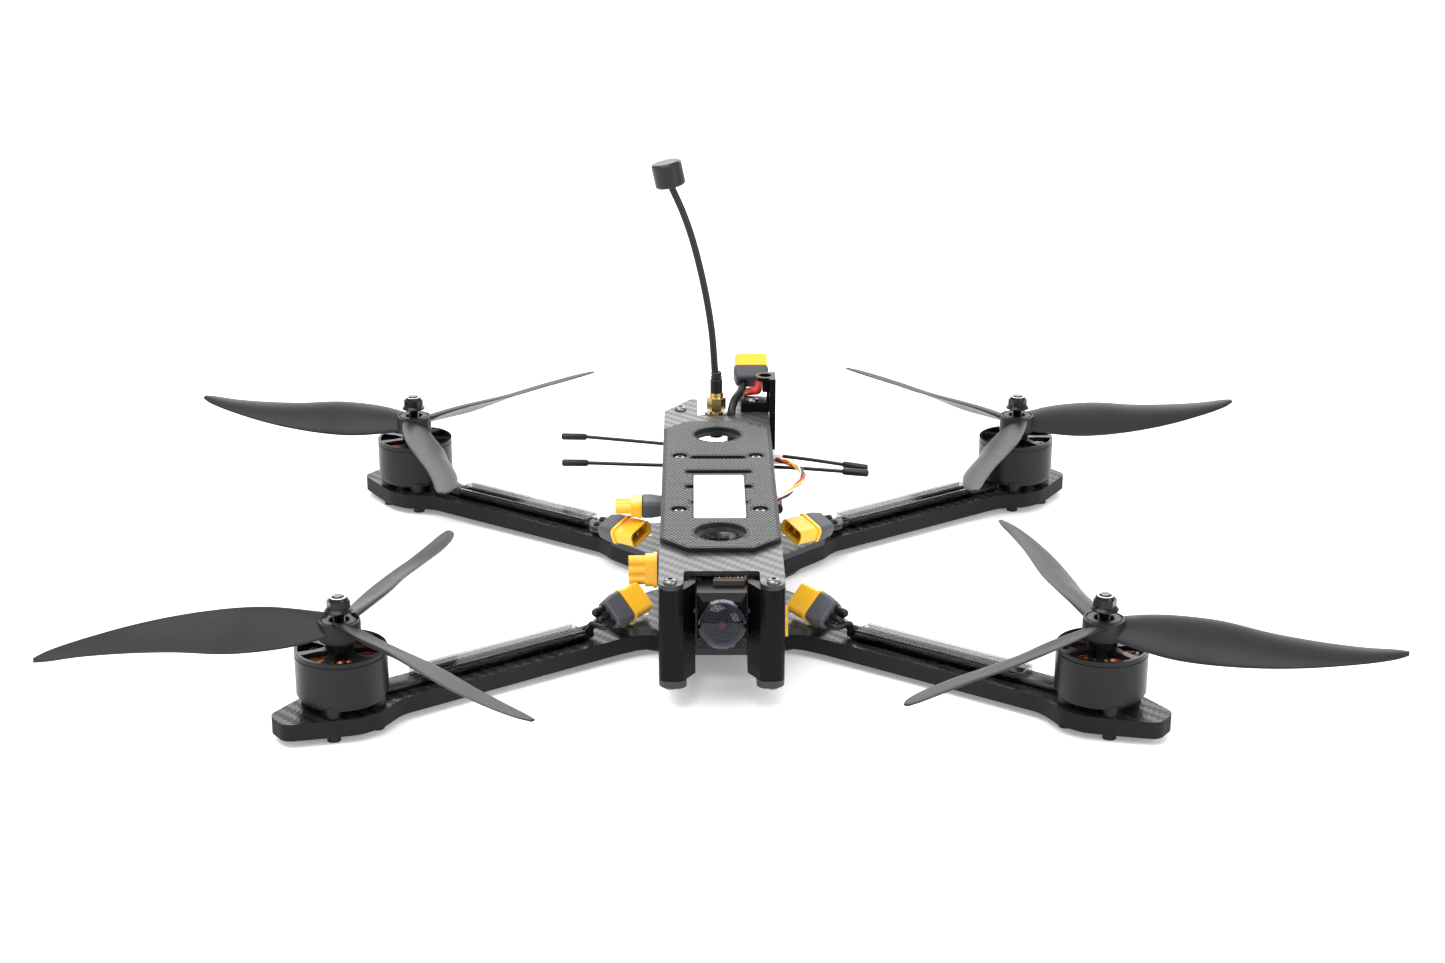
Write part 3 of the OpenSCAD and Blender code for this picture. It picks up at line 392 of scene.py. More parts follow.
CARBON = carbon("carbon_plates", (0.016, 0.016, 0.018), (0.035, 0.036, 0.038), 0.45, 0.5, 0.3)
CARBON_ARM = carbon("carbon_arms", (0.006, 0.006, 0.007), (0.016, 0.016, 0.017), 0.32, 0.17, 0.03)
PRINTED = printed("printed_black")
ANODISED = anodised("anodised_black")
NYLON = nylon("nylon_grey")
NICKEL = metal("nickel", (0.22, 0.21, 0.195), 0.26)
STEEL = metal("steel", (0.45, 0.45, 0.47), 0.32)
BLACK_OXIDE = metal("black_oxide", (0.022, 0.022, 0.025), 0.22, coat=0.12)
GOLD = metal("gold", (0.83, 0.6, 0.27), 0.22)
WINDINGS = windings_look("enamelled_copper")
LAMINATIONS = laminations("laminations")
PAD = rubber("pad_rubber", (0.008, 0.0083, 0.009), 0.5, spec=0.25)
# Painted sheen: the raised hexagon tops are painted much lighter than the pad's rubber, standing in for the
# light they catch.
PAD_TOPS_PAINTED_SHEEN = rubber("pad_hexagon_painted_sheen", (0.125, 0.128, 0.133), 0.45)
LABEL = paper("label_paper")
YELLOW = plastic("yellow_nylon", (0.93, 0.5, 0.025), 0.36, coat=0.15, amount=0.06)
BOOT = rubber("grey_boot", (0.068, 0.073, 0.084), 0.5)
BLACK_WIRE = rubber("black_silicone", (0.007, 0.007, 0.008), 0.32)
RED_WIRE = rubber("red_silicone", (0.62, 0.05, 0.035), 0.4)
SLEEVE = plastic("black_sleeve", (0.01, 0.01, 0.011), 0.36, spec=0.35)
CLEAR = clear("clear_guard", (0.42, 0.43, 0.44), 0.02, 1.04, 0.14)
DOME = clear("clear_dome", (0.2, 0.25, 0.36), 0.01, 1.06, 0.45)
LENS = Look("lens_and_painted_glint", (0.002, 0.002, 0.003), 0.12, coat=0.1, coat_rough=0.04, spec=0.1)
BOARD = board("solder_mask", (0.016, 0.018, 0.02))
WHITE = plastic("white_nylon", (0.84, 0.83, 0.79), 0.42, amount=0.04)
BROWN = plastic("brown_connector", (0.05, 0.036, 0.026), 0.45, amount=0.1, spec=0.3)
CAMERA_BODY = plastic("camera_black", (0.004, 0.004, 0.0045), 0.36, amount=0.2, spec=0.2)
PIN = metal("contact_gold", (0.85, 0.66, 0.33), 0.25)

# A painted red glint: a small red disc at the middle of the lens, a reflection painted into the base colour.
radius = LENS.math("SQRT", LENS.math("ADD", LENS.math("POWER", LENS.axes()[0], 2),
                   LENS.math("POWER", LENS.math("SUBTRACT", LENS.axes()[2], 40), 2)))
glint = LENS.math("LESS_THAN", radius, 1.5)
LENS.set("Base Color", LENS.mix(glint, (0.002, 0.002, 0.003), (0.9, 0.09, 0.06)))
LENS.bump(LENS.noise(2, 1), 0.02, 0.02)
LENS = LENS.m

LOOKS = {
    "bottom_plate": CARBON, "middle_plate": CARBON, "top_plate": CARBON,
    "battery_pad": PAD, "label": LABEL, "standoffs": ANODISED,
    "camera_mount_left": PRINTED, "camera_mount_right": PRINTED,
    "rear_bracket": PRINTED, "antenna_mount": PRINTED,
    "frame_screws": NICKEL, "camera_screws": BLACK_OXIDE, "motor_screws": BLACK_OXIDE,
    "motor_bases": ANODISED, "stators": LAMINATIONS, "wire_guards": CLEAR,
    "speed_controller": BOARD, "flight_controller": BOARD, "stack_posts": STEEL,
    "video_transmitter": ANODISED, "receiver": BOARD, "capacitor": SLEEVE,
    "antenna_cap": SLEEVE, "battery_plug": YELLOW, "signal_plug": WHITE,
    "camera_housing": CAMERA_BODY, "camera_lens": LENS, "coax_connector": GOLD,
}
for c in CORNERS:
    LOOKS["arm_" + c] = CARBON_ARM
    LOOKS["bell_" + c] = ANODISED
    LOOKS["nut_" + c] = BLACK_OXIDE

# Width in millimetres of the small rounding on each carried-over piece's edges.
ROUNDING = {
    "battery_pad": 0.25, "battery_plug": 0.3, "camera_housing": 0.4, "camera_mount_left": 0.25,
    "camera_mount_right": 0.25, "rear_bracket": 0.3, "frame_screws": 0.12, "label": 0.03,
}
COMMON_ROUNDING = 0.15
WELD_DISTANCE = 0.000005


def round_edges(obj, width_mm):
    bevel = obj.modifiers.new("bevel", "BEVEL")
    bevel.width = width_mm * MM
    bevel.segments = 2
    bevel.limit_method = "ANGLE"
    bevel.angle_limit = math.radians(38)
    obj.modifiers.new("normals", "WEIGHTED_NORMAL").keep_sharp = True


for name, material in LOOKS.items():
    obj = NODES[name]
    obj.data.materials.clear()
    obj.data.materials.append(material)
    for p in obj.data.polygons:
        p.material_index = 0
    weld = obj.modifiers.new("weld", "WELD")
    weld.merge_threshold = WELD_DISTANCE
    round_edges(obj, ROUNDING.get(name, COMMON_ROUNDING))

# The coaxial connector's lower hexagon is black, and the rest gold.
coax = NODES["coax_connector"]
coax.data.materials.append(BLACK_OXIDE)
HEX_TOP = 0.0521
for p in coax.data.polygons:
    p.material_index = int((coax.matrix_world @ p.center).z < HEX_TOP)


# ---------------------------------------------------------------- poses of plugs, as in part.scad

def at(pose, v):
    p, az, el, roll = pose
    turn = (Matrix.Rotation(math.radians(az), 3, "Z") @ Matrix.Rotation(math.radians(-el), 3, "Y")
            @ Matrix.Rotation(math.radians(roll), 3, "X"))
    return Vector(p) + turn @ Vector(v)


MOTOR = {"fl": (-148, -130), "fr": (148, -130), "rl": (-148, 130), "rr": (148, 130)}
ARM_ANGLE = 35.2


def arm_pose(c):
    x, y = MOTOR[c]
    a = math.radians(ARM_ANGLE)
    turn = math.degrees(math.atan2(math.copysign(math.sin(a), y), math.copysign(math.cos(a), x)))
    return ((x, y, 0), turn, 0, 0)


WIRE_R, LANE, BOOT_LANE = 1.4, 2.9, 3.6
MID_Z = 10.0
LANE_Z = MID_Z + WIRE_R + 0.15
PLUGS = [((-46.6, -65.8, 19.9), 52, 3, 45), ((46.3, -67, 19.9), 128, 3, -45),
         ((-51.2, 41, 20), -40, 3, 19), ((49.6, 43, 20), 220, 3, -19)]
SOCKETS = [((-17, -44.2, 31.6), 180, 0, 90), ((6, -80, 23), 0, 0, 60),
           ((-25, 36, 31.4), 180, 0, 0), ((22.5, 44, 22), 90, 0, 90)]
BATTERY = ((16.9, 121, 64.4), 90, 33, 0)
SOCKET_TURN = [1, 1, -1, -1]


def motor_route(i, k):
    base, plug = arm_pose(CORNERS[i]), PLUGS[i]
    y, w = k * LANE, -k * BOOT_LANE
    a, b = at(base, (-114, 0, MID_Z + 3)), at(plug, (-3, 0, 0))
    across = Vector((0, 0, 1)).cross(b - a).normalized()
    bend = [at(base, (-113, y, LANE_Z + 0.1)), (a + b) / 2 + vec(0, 0, 0.8) - k * 3.6 * across,
            at(plug, (-5.5, w, 0)), at(plug, (-1.5, w, 0))]
    straight = [at(base, (x, y, LANE_Z)) for x in (-15.2, -30, -45, -60, -75, -90, -100, -108)]
    return straight + spline(bend, 8) + [at(plug, (0, w, 0))]


def socket_route(i, k):
    w, p = k * BOOT_LANE, SOCKETS[i]
    points = [
        [(-7 + w, -18.4, 22), (-7 + w, -25, 24), (-8 + 0.7 * w, -38, 27.4 + 0.7 * w), (-12, -43.4, 31.6 + w)],
        [(7 + w, -18.4, 22), (7 + w, -28, 22), (3.5 + w, -50, 21.4), (-0.6 + 0.9 * w, -66, 21.6 + 0.2 * w),
         (-1.4 + 0.6 * w, -75.6 + 0.3 * w, 22.6 + 0.6 * w)],
        [(-18.4, 6.6 - w, 22.1), (-21.4, 7.6 - w, 22.1 + max(0, -0.6 * w)), (-22.6, 12 - w, 21.6 - 0.9 * w),
         (-22.3, 28 + w, 21.6 - 0.86 * w), (-22.4, 34 + w, 25 - 0.5 * w)],
        [(18.4, 6.6 - w, 22.1), (21.4, 7.6 - w, 22.1 + max(0, -0.6 * w)), (22.5, 13 - w, 22 - w),
         (22.5, 32, 22 - w)],
    ][i]
    s = SOCKET_TURN[i]
    return spline([Vector(q) for q in points] + [at(p, (-1.5, w * s, 0))], 8) + [at(p, (0, w * s, 0))]


# The routes below start from single points of the photo that a script turned into millimetres.
BLACK = [(4.5, 21, 22), (4.5, 38, 26), (4.5, 66, 28.2), (4.8, 90, 28.2), (5.8, 98.6, 31), (7, 102.4, 40),
         (7, 103.2, 51), (7.2, 104.2, 55.4), (8.8, 108.4, 59.4), (11.4, 113.6, 61.6)]
RED = [(11.5, 21, 22), (11.5, 38, 26), (11, 66, 28.6), (10.6, 98, 28.4), (10.6, 116, 30), (11, 128, 37),
       (11.2, 130.8, 45), (11.8, 131, 51), (12.8, 129, 55.4), (15, 123, 58.8), (17.8, 117.4, 61.1),
       (20, 116.6, 61.8)]
SIGNAL = [(28.4, 73.4, 40.6), (33, 69, 41), (38, 63.6, 40), (39.6, 56, 38.6), (37, 46, 38.4), (31, 33, 38),
          (24, 25, 36.4), (17.6, 18.8, 33.8)]


# ---------------------------------------------------------------- cords

def cord(name, path_mm, radius_mm, material):
    path = [p * MM for p in path_mm]
    obj = curve_object(name, path, radius_mm * MM, material, "airframe")
    return obj


def part_of(node, place_mm, name, material, width_mm):
    """The one solid of a CAD node that is nearest to a place, as a piece of its own."""
    bm = bmesh.new()
    bm.from_mesh(NODES[node].data)
    bmesh.ops.remove_doubles(bm, verts=bm.verts, dist=0.000002)
    left, islands = set(bm.verts), []
    while left:
        stack, island = [left.pop()], []
        while stack:
            v = stack.pop()
            island.append(v)
            for e in v.link_edges:
                w = e.other_vert(v)
                if w in left:
                    left.remove(w)
                    stack.append(w)
        islands.append(island)
    place = place_mm * MM
    keep = min(islands, key=lambda g: (sum((v.co for v in g), Vector()) / len(g) - place).length)
    kept = set(keep)
    bmesh.ops.delete(bm, geom=[v for v in bm.verts if v not in kept], context="VERTS")
    bmesh.ops.dissolve_limit(bm, angle_limit=math.radians(1), verts=bm.verts, edges=bm.edges)
    for f in bm.faces:
        f.smooth = True
    for e in bm.edges:
        e.smooth = e.calc_face_angle(0) < math.radians(35)
    mesh = bpy.data.meshes.new(name)
    bm.to_mesh(mesh)
    bm.free()
    mesh.materials.append(material)
    obj = link(name, mesh, "airframe")
    round_edges(obj, width_mm)
    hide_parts(node)
    return obj


BOOT_L, SHELL_L, CONTACT_PITCH = 9.5, 12, 4.3


def contacts(name, pose, radius_in, radius_out, x0, x1, offsets):
    """Gold contacts of a plug or socket, as short open tubes or pins."""
    if radius_in == 0:
        profile = [(0, x0), (radius_out, x0), (radius_out, x1 - 0.3), (radius_out - 0.3, x1), (0, x1)]
    else:
        profile = [(radius_in, x0), (radius_out, x0), (radius_out, x1), (radius_in, x1)]
    s = Shells()
    for y in offsets:
        tube = Shells()
        tube.lathe(vec(0, 0, 0), profile, 20)
        s.add([at(pose, (p.z, y + p.x, p.y)) * MM for p in tube.v], tube.f)
    obj = mesh_object(name, s.v, s.f, PIN, "airframe", 35)
    return obj


def three_wires(kind, route, i):
    """A wire to each contact, and each ends on the plug."""
    c = CORNERS[i]
    for k in (0, -1, 1):
        wire = cord(f"{kind}_wire_{c}_{k + 2}", route(i, k), WIRE_R, BLACK_WIRE)
        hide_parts("phase_wires")


for i, c in enumerate(CORNERS):
    three = [k * CONTACT_PITCH for k in (-1, 0, 1)]
    half = BOOT_L + SHELL_L / 2
    shell = part_of("motor_plugs", at(PLUGS[i], (half, 0, 0)), "motor_plug_" + c, YELLOW, 0.3)
    boot = part_of("plug_boots", at(PLUGS[i], (BOOT_L / 2, 0, 0)), "motor_boot_" + c, BOOT, 0.8)
    pins = contacts("motor_contacts_" + c, PLUGS[i], 0, 1.06, BOOT_L + 4, BOOT_L + 10.6, three)
    three_wires("motor", motor_route, i)
    shell = part_of("controller_sockets", at(SOCKETS[i], (half, 0, 0)), "controller_socket_" + c,
                    YELLOW, 0.2)
    boot = part_of("plug_boots", at(SOCKETS[i], (BOOT_L / 2, 0, 0)), "controller_boot_" + c,
                   BOOT, 0.8)
    pins = contacts("controller_contacts_" + c, SOCKETS[i], 0.75, 1.12, BOOT_L + 4,
                    BOOT_L + SHELL_L - 0.8, three)
    three_wires("controller", socket_route, i)

LEAD_R, LEAD_PITCH = 2.0, 7.2


def lead(points, side):
    return (spline([Vector(p) for p in points] + [at(BATTERY, (-1, side * LEAD_PITCH / 2, 0))], 10)
            + [at(BATTERY, (0, side * LEAD_PITCH / 2, 0))])


BATTERY_BOOT = 7.5
battery_boot = part_of("plug_boots", at(BATTERY, (BATTERY_BOOT / 2, 0, 0)), "battery_boot",
                       BOOT, 0.8)
battery_contacts = contacts("battery_contacts", BATTERY, 1.75, 2.23, BATTERY_BOOT + 1.7, BATTERY_BOOT + 6.9,
                            [-LEAD_PITCH / 2, LEAD_PITCH / 2])
black_lead = cord("battery_wire_black", lead(BLACK, 1), LEAD_R, BLACK_WIRE)
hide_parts("battery_lead_black")
red_lead = cord("battery_wire_red", lead(RED, -1), LEAD_R, RED_WIRE)
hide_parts("battery_lead_red")

SIGNAL_COLOURS = [("yellow", (0.8, 0.5, 0.05)), ("red", (0.6, 0.04, 0.03)), ("black", (0.02, 0.02, 0.022)),
                  ("white", (0.8, 0.79, 0.75))]
for k, (tone, rgb) in enumerate(SIGNAL_COLOURS):
    start = vec(26.5 + k * 1.1, 77, 39.7)
    turns = [math.radians(100 * i + 90 * k) for i in range(len(SIGNAL))]
    shift = [vec(0.95 * math.cos(a), 0, 0.95 * math.sin(a)) for a in turns]
    route = [start] + spline([start - vec(0, 1, 0)] + [Vector(p) + s for p, s in zip(SIGNAL, shift)], 8)
    wire = cord("signal_wire_" + tone, route[::-1], 0.5, rubber("signal_" + tone, rgb, 0.4))
    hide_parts("signal_wires")


# ---------------------------------------------------------------- propellers

PROP_R = 114.3
HUB_Z, HUB_TOP, HUB_R = 37.0, 45.0, 8.3
BLADE_Z = HUB_TOP - 3
PROP_TURN = [194, -17, 162.5, 13]
PROP_SIDE = [-1, 1, -1, 1]
PROP_FACE = [-1, 1, 1, 1]
# Fraction of the tip radius, chord, pitch angle, mid chord's offset ahead and rise, as in part.scad.
# The middle stations and PROP_TURN come from a fit to the photo's blade edges.
BLADE = [(0.06, 13, 26, 0, -1.2), (0.16, 18.5, 29, -0.6, -1.2), (0.27, 22.2, 29, -1.3, -1.5),
         (0.4, 22.4, 28.6, -1.6, -1.8), (0.55, 19.2, 24.5, -3.3, -1.9), (0.7, 15.4, 20.5, -4.1, -1.1),
         (0.85, 11, 15, -3.1, 0.1), (0.95, 7.4, 12.5, -1.2, 1.2), (1, 3, 12, 0.3, 1.8)]
ROOT_T, TIP_T, CAMBER = 3.4, 1.0, 0.06


def blade_ring(station, points=28):
    f, c, angle, ahead, rise = station
    r, b, t = f * PROP_R, math.radians(angle), ROOT_T + (TIP_T - ROOT_T) * f
    ring = []
    for k in range(points):
        a = 2 * math.pi * k / points
        u, v = c / 2 * math.cos(a), t / 2 * math.sin(a) + CAMBER * c * math.sin(a) ** 2
        y = ahead + u * math.cos(b) - v * math.sin(b)
        ring.append(vec(math.sqrt(max(r * r - y * y, 4)), y, rise + u * math.sin(b) + v * math.cos(b)))
    return ring


def propeller(i, c):
    s = Shells()
    stations = spline([Vector(p) for p in BLADE], 6)
    last = stations[-1].copy()
    last[0], last[1] = 1.0, 0.8
    side, face = PROP_SIDE[i] * PROP_FACE[i], PROP_FACE[i]
    rings = [blade_ring(q) for q in stations + [last]]
    for blade in range(3):
        turn = Matrix.Rotation(math.radians(PROP_TURN[i]) + 2 * math.pi * blade / 3, 3, "Z")
        s.loft([[turn @ vec(p.x, p.y * side, BLADE_Z + p.z * face) for p in ring] for ring in rings])
    bore, recess = 2.5, 3.9
    s.lathe(vec(0, 0, 0), [(bore, HUB_Z), (HUB_R - 0.3, HUB_Z), (HUB_R, HUB_Z + 0.3), (HUB_R, HUB_TOP - 0.7),
            (HUB_R - 0.2, HUB_TOP - 0.2), (HUB_R - 0.7, HUB_TOP), (7.3, HUB_TOP), (7.2, HUB_TOP - 0.6),
            (6.7, HUB_TOP - 0.6), (6.6, HUB_TOP), (recess + 0.3, HUB_TOP), (recess, HUB_TOP - 0.3),
            (recess, HUB_TOP - 2.6), (bore, HUB_TOP - 2.6)], 64)
    x, y = MOTOR[c]
    verts = [(p + vec(x, y, 0)) * MM for p in s.v]
    obj = mesh_object("propeller_shape_" + c, verts, s.f, NYLON, "rotor_" + c, 40)
    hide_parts("propeller_" + c)


# ---------------------------------------------------------------- motors

def windings(c):
    s = Shells()
    rows, low, high, wire = 10, 17.1, 30.5, 0.27
    for i in range(12):
        turn = Matrix.Rotation(2 * math.pi * i / 12, 3, "Z")
        for j in range(rows):
            r = 7.75 + j * 0.53
            half = 1.45 + (r - 7.4) * 0.26
            for inner in (0, 1):
                h = half - inner * 0.52
                if h < 1.3:
                    continue
                a, b, q = low + inner * 0.5, high - inner * 0.5, 0.5
                loop = [(h, a + q), (h, b - q), (h - q, b), (q - h, b), (-h, b - q), (-h, a + q),
                        (q - h, a), (h - q, a)]
                rings = []
                for n, (y, z) in enumerate(loop):
                    centre = vec(r + 0.1 * math.sin(n), y, z)
                    outward = vec(0, math.copysign(1, y) if abs(y) > h - q / 2 else 0.0,
                                  (1 if z > (a + b) / 2 else -1) if a + q > z or z > b - q else 0.0)
                    outward = outward.normalized() if outward.length else vec(0, math.copysign(1, y), 0)
                    rings.append([centre + wire * (math.cos(t) * vec(1, 0, 0) + math.sin(t) * outward)
                                  for t in [2 * math.pi * m / 6 for m in range(6)]])
                s.loft([[turn @ p for p in ring] for ring in rings], closed=True)
    pose = arm_pose(c)
    verts = [at(pose, p) * MM for p in s.v]
    obj = mesh_object("coils_" + c, verts, s.f, WINDINGS, "airframe", 60)
    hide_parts("windings")


def threaded_shaft(c):
    """Plain below the hub, rolled thread above it."""
    r, low, thread_low, top, pitch = 2.5, 10.6, 41.0, 54.9, 0.8
    profile = [(0, low), (r - 0.3, low), (r, low + 0.3), (r, thread_low)]
    z = thread_low
    while z + pitch < top - 0.6:
        profile += [(r - 0.42, z + pitch * 0.45), (r - 0.42, z + pitch * 0.55), (r, z + pitch * 0.95),
                    (r, z + pitch)]
        z += pitch
    profile += [(r, top - 0.6), (r - 0.6, top), (0, top)]
    s = Shells()
    s.lathe(vec(*MOTOR[c], 0), profile, 40)
    obj = mesh_object("threaded_shaft_" + c, [p * MM for p in s.v], s.f, BLACK_OXIDE, "rotor_" + c, 25)
    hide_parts("shaft_" + c)


def nut_insert(c):
    """Pale nylon ring in the top of the lock nut."""
    profile = [(2.52, 54.0), (3.35, 54.0), (3.35, 54.36), (3.2, 54.42), (2.6, 54.42), (2.52, 54.3)]
    s = Shells()
    s.lathe(vec(*MOTOR[c], 0), profile, 40)
    obj = mesh_object("nut_insert_" + c, [p * MM for p in s.v], s.f, WHITE, "rotor_" + c, 30)


def wire_sleeve(c):
    """Flat shrink sleeve over the phase wires beside the motor."""
    s = Shells()
    rings = []
    for x, grow in ((-18.6, -0.2), (-19.2, 0), (-24, 0.08), (-30, 0), (-30.6, -0.2)):
        ring = []
        for k in range(28):
            a = 2 * math.pi * k / 28
            y = math.copysign(abs(math.cos(a)) ** 0.5, math.cos(a)) * (4.5 + grow)
            z = math.copysign(abs(math.sin(a)) ** 0.8, math.sin(a)) * (1.5 + grow) + LANE_Z
            ring.append(vec(x, y, z))
        rings.append(ring)
    s.loft(rings)
    pose = arm_pose(c)
    obj = mesh_object("wire_sleeve_" + c, [at(pose, p) * MM for p in s.v], s.f, SLEEVE, "airframe", 45)


for i, c in enumerate(CORNERS):
    propeller(i, c)
    windings(c)
    threaded_shaft(c)
    nut_insert(c)
    wire_sleeve(c)


# ---------------------------------------------------------------- battery pad texture

def pad_texture():
    """Small raised hexagons over the battery pad, clear of its windows, slots, wells and label."""
    top, rise, pitch, r = 55.8, 0.16, 1.75, 0.68
    slots = [(32.9, 12.5), (13, 14.75), (-6.8, 14.75), (-27, 12.25)]
    wells = [(sx * 17.2, sy * 35.4) for sx in (-1, 1) for sy in (-1, 1)]

    def covered(x, y):
        if abs(x) > 23.4 or y > 84.4 or y < -80.4:
            return False
        if y > 74.3 and abs(x) - 13.4 > (86 - y) * 11.5 / 11.7 - 1.6:
            return False
        if y < -69.8 and abs(x) - 13.4 > (82 + y) * 11.5 / 12.2 - 1.6:
            return False
        if any(math.hypot(x, y - w) < 12.2 for w in (-63, 66)):
            return False
        if any(abs(y - sy) < 3.2 and abs(x) < half + 1 for sy, half in slots):
            return False
        if any(math.hypot(x - wx, y - wy) < 4.4 for wx, wy in wells):
            return False
        return not (abs(x) < 11.9 and -47.4 < y < 9.4)

    angles = [math.pi / 3 * k + math.pi / 6 for k in range(6)]
    levels = [(r, top - 0.1), (r * 0.94, top + rise * 0.7), (r * 0.7, top + rise)]
    s = Shells()
    row = 0
    y = -81.0
    while y < 86:
        x = -24.5 + (pitch / 2 if row % 2 else 0)
        while x < 24.6:
            if covered(x, y):
                s.loft([[vec(x + q * math.cos(a), y + q * math.sin(a), z) for a in angles]
                        for q, z in levels])
            x += pitch
        y += pitch * math.sqrt(3) / 2
        row += 1
    obj = mesh_object("pad_hexagons", [p * MM for p in s.v], s.f, PAD_TOPS_PAINTED_SHEEN, "airframe", 20)


pad_texture()


# ---------------------------------------------------------------- video antenna

STEM = [(0, 112, 62.2), (0, 112, 65.2), (-0.6, 112, 71), (-2.2, 112.5, 92), (-5.6, 113, 113),
        (-10.6, 114, 134), (-15.6, 115, 149), (-21.2, 116, 161.6)]


def antenna_stem():
    path = [Vector(STEM[0])] + spline([Vector(p) for p in STEM[1:]], 10)
    s = Shells()
    s.loft(tube_rings([p * MM for p in path], 1.7 * MM, 24, (0, 1, 0.02)))
    obj = mesh_object("antenna_rod", s.v, s.f, SLEEVE, "airframe", 60)
    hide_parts("antenna_stem")
    sleeve = Shells()
    profile = [(1.5, 62.25), (2.85, 62.25), (3.0, 62.6)]
    z = 63.0
    while z < 68:
        profile += [(3.0, z), (2.78, z + 0.14), (2.78, z + 0.3), (3.0, z + 0.44)]
        z += 0.58
    profile += [(2.9, 68.6), (2.5, 68.9), (2.5, 69.4), (2.7, 69.6), (2.7, 70.2), (2.4, 70.4),
                (2.4, 71.2), (2.6, 71.4), (2.6, 72.0), (2.2, 72.4), (1.6, 72.5)]
    sleeve.lathe(vec(0, 112, 0), profile, 40)
    ring = mesh_object("antenna_sleeve", [p * MM for p in sleeve.v], sleeve.f, SLEEVE, "airframe", 25)


antenna_stem()

DIPOLE_Z = 34.4
# A script worked these points out, by moving earlier ones down the photo's lines of sight.
DIPOLES = [
    [(-75.8, 128.7), (-63.1, 127.9), (-26.8, 117.4), (5.1, 106.8), (38.4, 95.2), (59.8, 85.4), (71.1, 80)],
    [(-73.5, 88.6), (-60.2, 88.1), (-26.7, 84.7), (2.7, 83.3), (32.1, 81.1), (58.1, 75.6), (71.1, 72.3)],
]


def receiver_antennas():
    s = Shells()
    for i, flat in enumerate(DIPOLES):
        d = [vec(x, y, DIPOLE_Z) for x, y in flat]
        path = [d[0]] + spline(d[1:6], 8) + [d[6]]
        s.loft(tube_rings(path, 0.9, 14))
        for a, b in ((d[0], d[1]), (d[6], d[5])):
            t = (b - a).normalized()
            stops = [(0, 1.1), (0.4, 1.6), (1, 1.7), (11.6, 1.7), (12.2, 1.4), (12.5, 1.0)]
            s.loft(tube_rings([a + t * q for q, _ in stops], [r for _, r in stops], 20))
        t = (d[4] - d[2]).normalized()
        stops = [(-5, 1.4), (-4.4, 1.9), (4.4, 1.9), (5, 1.4)]
        s.loft(tube_rings([d[3] + t * q for q, _ in stops], [r for _, r in stops], 20))
        socket = vec(-3.4, 50 - 8 * i, 46.8)
        feed = spline([d[3] + vec(0, 0, 1), d[3] + vec(-1, -3, 5), vec(-3.4 - 3.4 * i, 60, 42.4),
                       socket - vec(0, 0, 2)], 8)
        s.loft(tube_rings(feed + [socket], 0.6, 12, (1, 0, 0)))
    obj = mesh_object("dipole_antennas", [p * MM for p in s.v], s.f, SLEEVE, "airframe", 45)
    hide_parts("receiver_antennas")


receiver_antennas()


# ---------------------------------------------------------------- camera wires

CAM_AXIS, CAM_W = vec(0, -110, 40), 19.6
CAM_TONES = [("blue", (0.05, 0.12, 0.45)), ("yellow", (0.8, 0.5, 0.05)), ("brown", (0.25, 0.1, 0.04)),
             ("orange", (0.65, 0.18, 0.03)), ("teal", (0.03, 0.32, 0.26)), ("red", (0.55, 0.04, 0.03)),
             ("white", (0.8, 0.79, 0.75)), ("beige", (0.66, 0.52, 0.28))]


def camera_wires():
    for k, (tone, rgb) in enumerate(CAM_TONES):
        x, y, z = -2.4 + k * 1.5, CAM_AXIS.y + 5.4, CAM_AXIS.z + CAM_W / 2 + 1
        points = [vec(x, y, z), vec(x, y + 2.4, z - 0.1), vec(x - 0.2, y + 4.2, z - 2),
                  vec(x - 0.5, y + 4.6, z - 7), vec(x - 0.8, y + 5.2, z - 12)]
        wire = curve_object("camera_wire_" + tone, [p * MM for p in spline(points, 6)], 0.5 * MM,
                            rubber("camera_wire_" + tone, rgb, 0.4), "camera")
        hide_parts("camera_wires")
    s = Shells()
    x0, x1 = -3.4, 9.2
    y0, y1 = CAM_AXIS.y + 2, CAM_AXIS.y + 5.4
    z0 = CAM_AXIS.z + CAM_W / 2
    z1 = z0 + 2
    s.loft([[vec(x0, y, z0), vec(x1, y, z0), vec(x1, y, z1 - 0.5), vec(x1 - 0.4, y, z1), vec(x0 + 0.4, y, z1),
             vec(x0, y, z1 - 0.5)] for y in (y0, y0 + 0.3, y1 - 0.3, y1)])
    for k in range(8):
        x = -2.4 + k * 1.5
        s.loft([[vec(x - 0.35, y, z1 - 0.1), vec(x + 0.35, y, z1 - 0.1), vec(x + 0.25, y, z1 + 0.12),
                 vec(x - 0.25, y, z1 + 0.12)] for y in (y0 + 0.6, y1 - 0.5)])
    obj = mesh_object("camera_connector", [p * MM for p in s.v], s.f, BROWN, "camera", 30)
    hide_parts("camera_wires")


camera_wires()


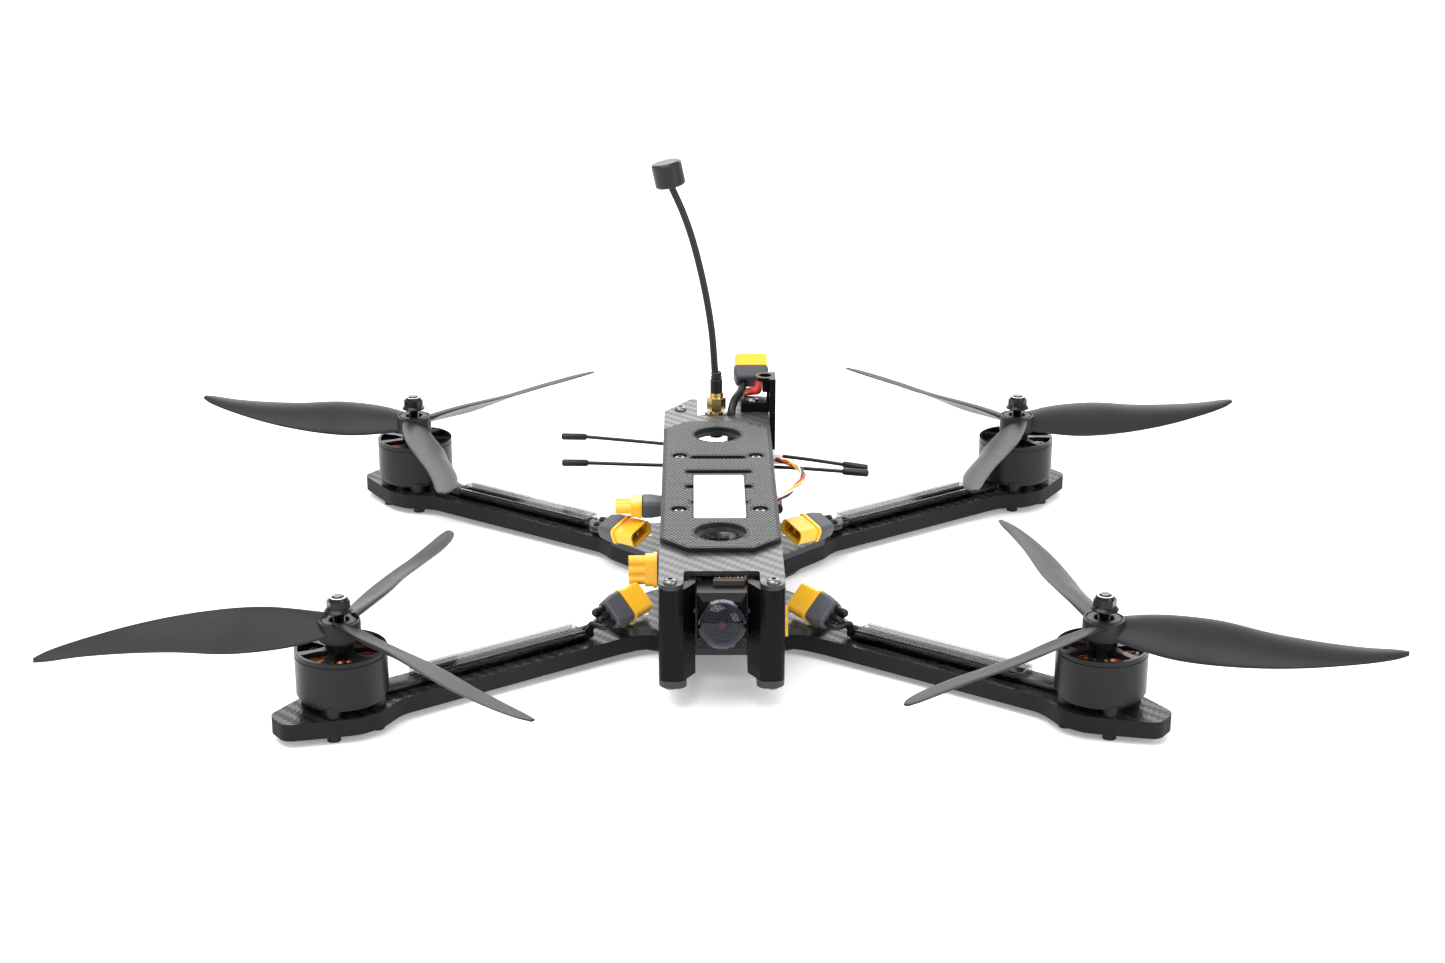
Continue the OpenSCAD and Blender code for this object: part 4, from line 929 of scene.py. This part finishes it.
def camera_dome():
    """Smooth clear cover over the lens: a short collar and a shallow dome, open at the back."""
    r, wall, collar, rise, front = 9.9, 0.8, 2, 6.2, 12.8
    arc = [math.radians(3 * k) for k in range(30)]
    outside = [(r * math.cos(a), collar + rise * math.sin(a)) for a in arc]
    inside = [((r - wall) * math.cos(a), collar + (rise - wall) * math.sin(a)) for a in arc]
    s = Shells()
    s.lathe(vec(0, 0, 0), [(0, collar + rise)] + outside[::-1] + [(r, 0), (r - wall, 0)] + inside
            + [(0, collar + rise - wall)], 72)
    verts = [(CAM_AXIS + vec(p.x, -front - p.z, p.y)) * MM for p in s.v]
    obj = mesh_object("dome_cover", verts, s.f, DOME, "camera", 40)
    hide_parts("camera_dome")


camera_dome()


# ---------------------------------------------------------------- floor, light and world

def floor():
    half, depth = 4, 0.0002
    corners = [(-half, -half, -depth), (half, -half, -depth), (half, half, -depth), (-half, half, -depth)]
    mesh = bpy.data.meshes.new("floor")
    mesh.from_pydata(corners, [], [[0, 1, 2, 3]])
    look = Look("floor_white", (0.95, 0.95, 0.95), 0.8)
    look.b.inputs["Emission Color"].default_value = (1, 1, 1, 1)
    look.b.inputs["Emission Strength"].default_value = 0.22
    mesh.materials.append(look.m)
    obj = bpy.data.objects.new("floor", mesh)
    bpy.context.scene.collection.objects.link(obj)


def area_light(name, place, target, size, power):
    data = bpy.data.lights.new(name, "AREA")
    data.shape = "RECTANGLE"
    data.size, data.size_y = size
    data.energy = power
    obj = bpy.data.objects.new(name, data)
    bpy.context.scene.collection.objects.link(obj)
    obj.location = place
    obj.rotation_euler = (Vector(target) - Vector(place)).to_track_quat("-Z", "Y").to_euler()


floor()
area_light("key_light", (-0.5, -0.4, 1.5), (0, 0, 0), (1.6, 1.2), 24)
area_light("back_light", (0.2, 1.5, 0.9), (0, 0, 0.02), (1.8, 0.9), 16)
area_light("fill_light", (1.2, -1.1, 0.6), (0, 0, 0.03), (0.9, 0.9), 8)
world = bpy.data.worlds.new("studio")
world.use_nodes = True
world.node_tree.nodes["Background"].inputs[0].default_value = (1, 1, 1, 1)
world.node_tree.nodes["Background"].inputs[1].default_value = 1.02
bpy.context.scene.world = world
bpy.context.scene.view_settings.view_transform = "Standard"
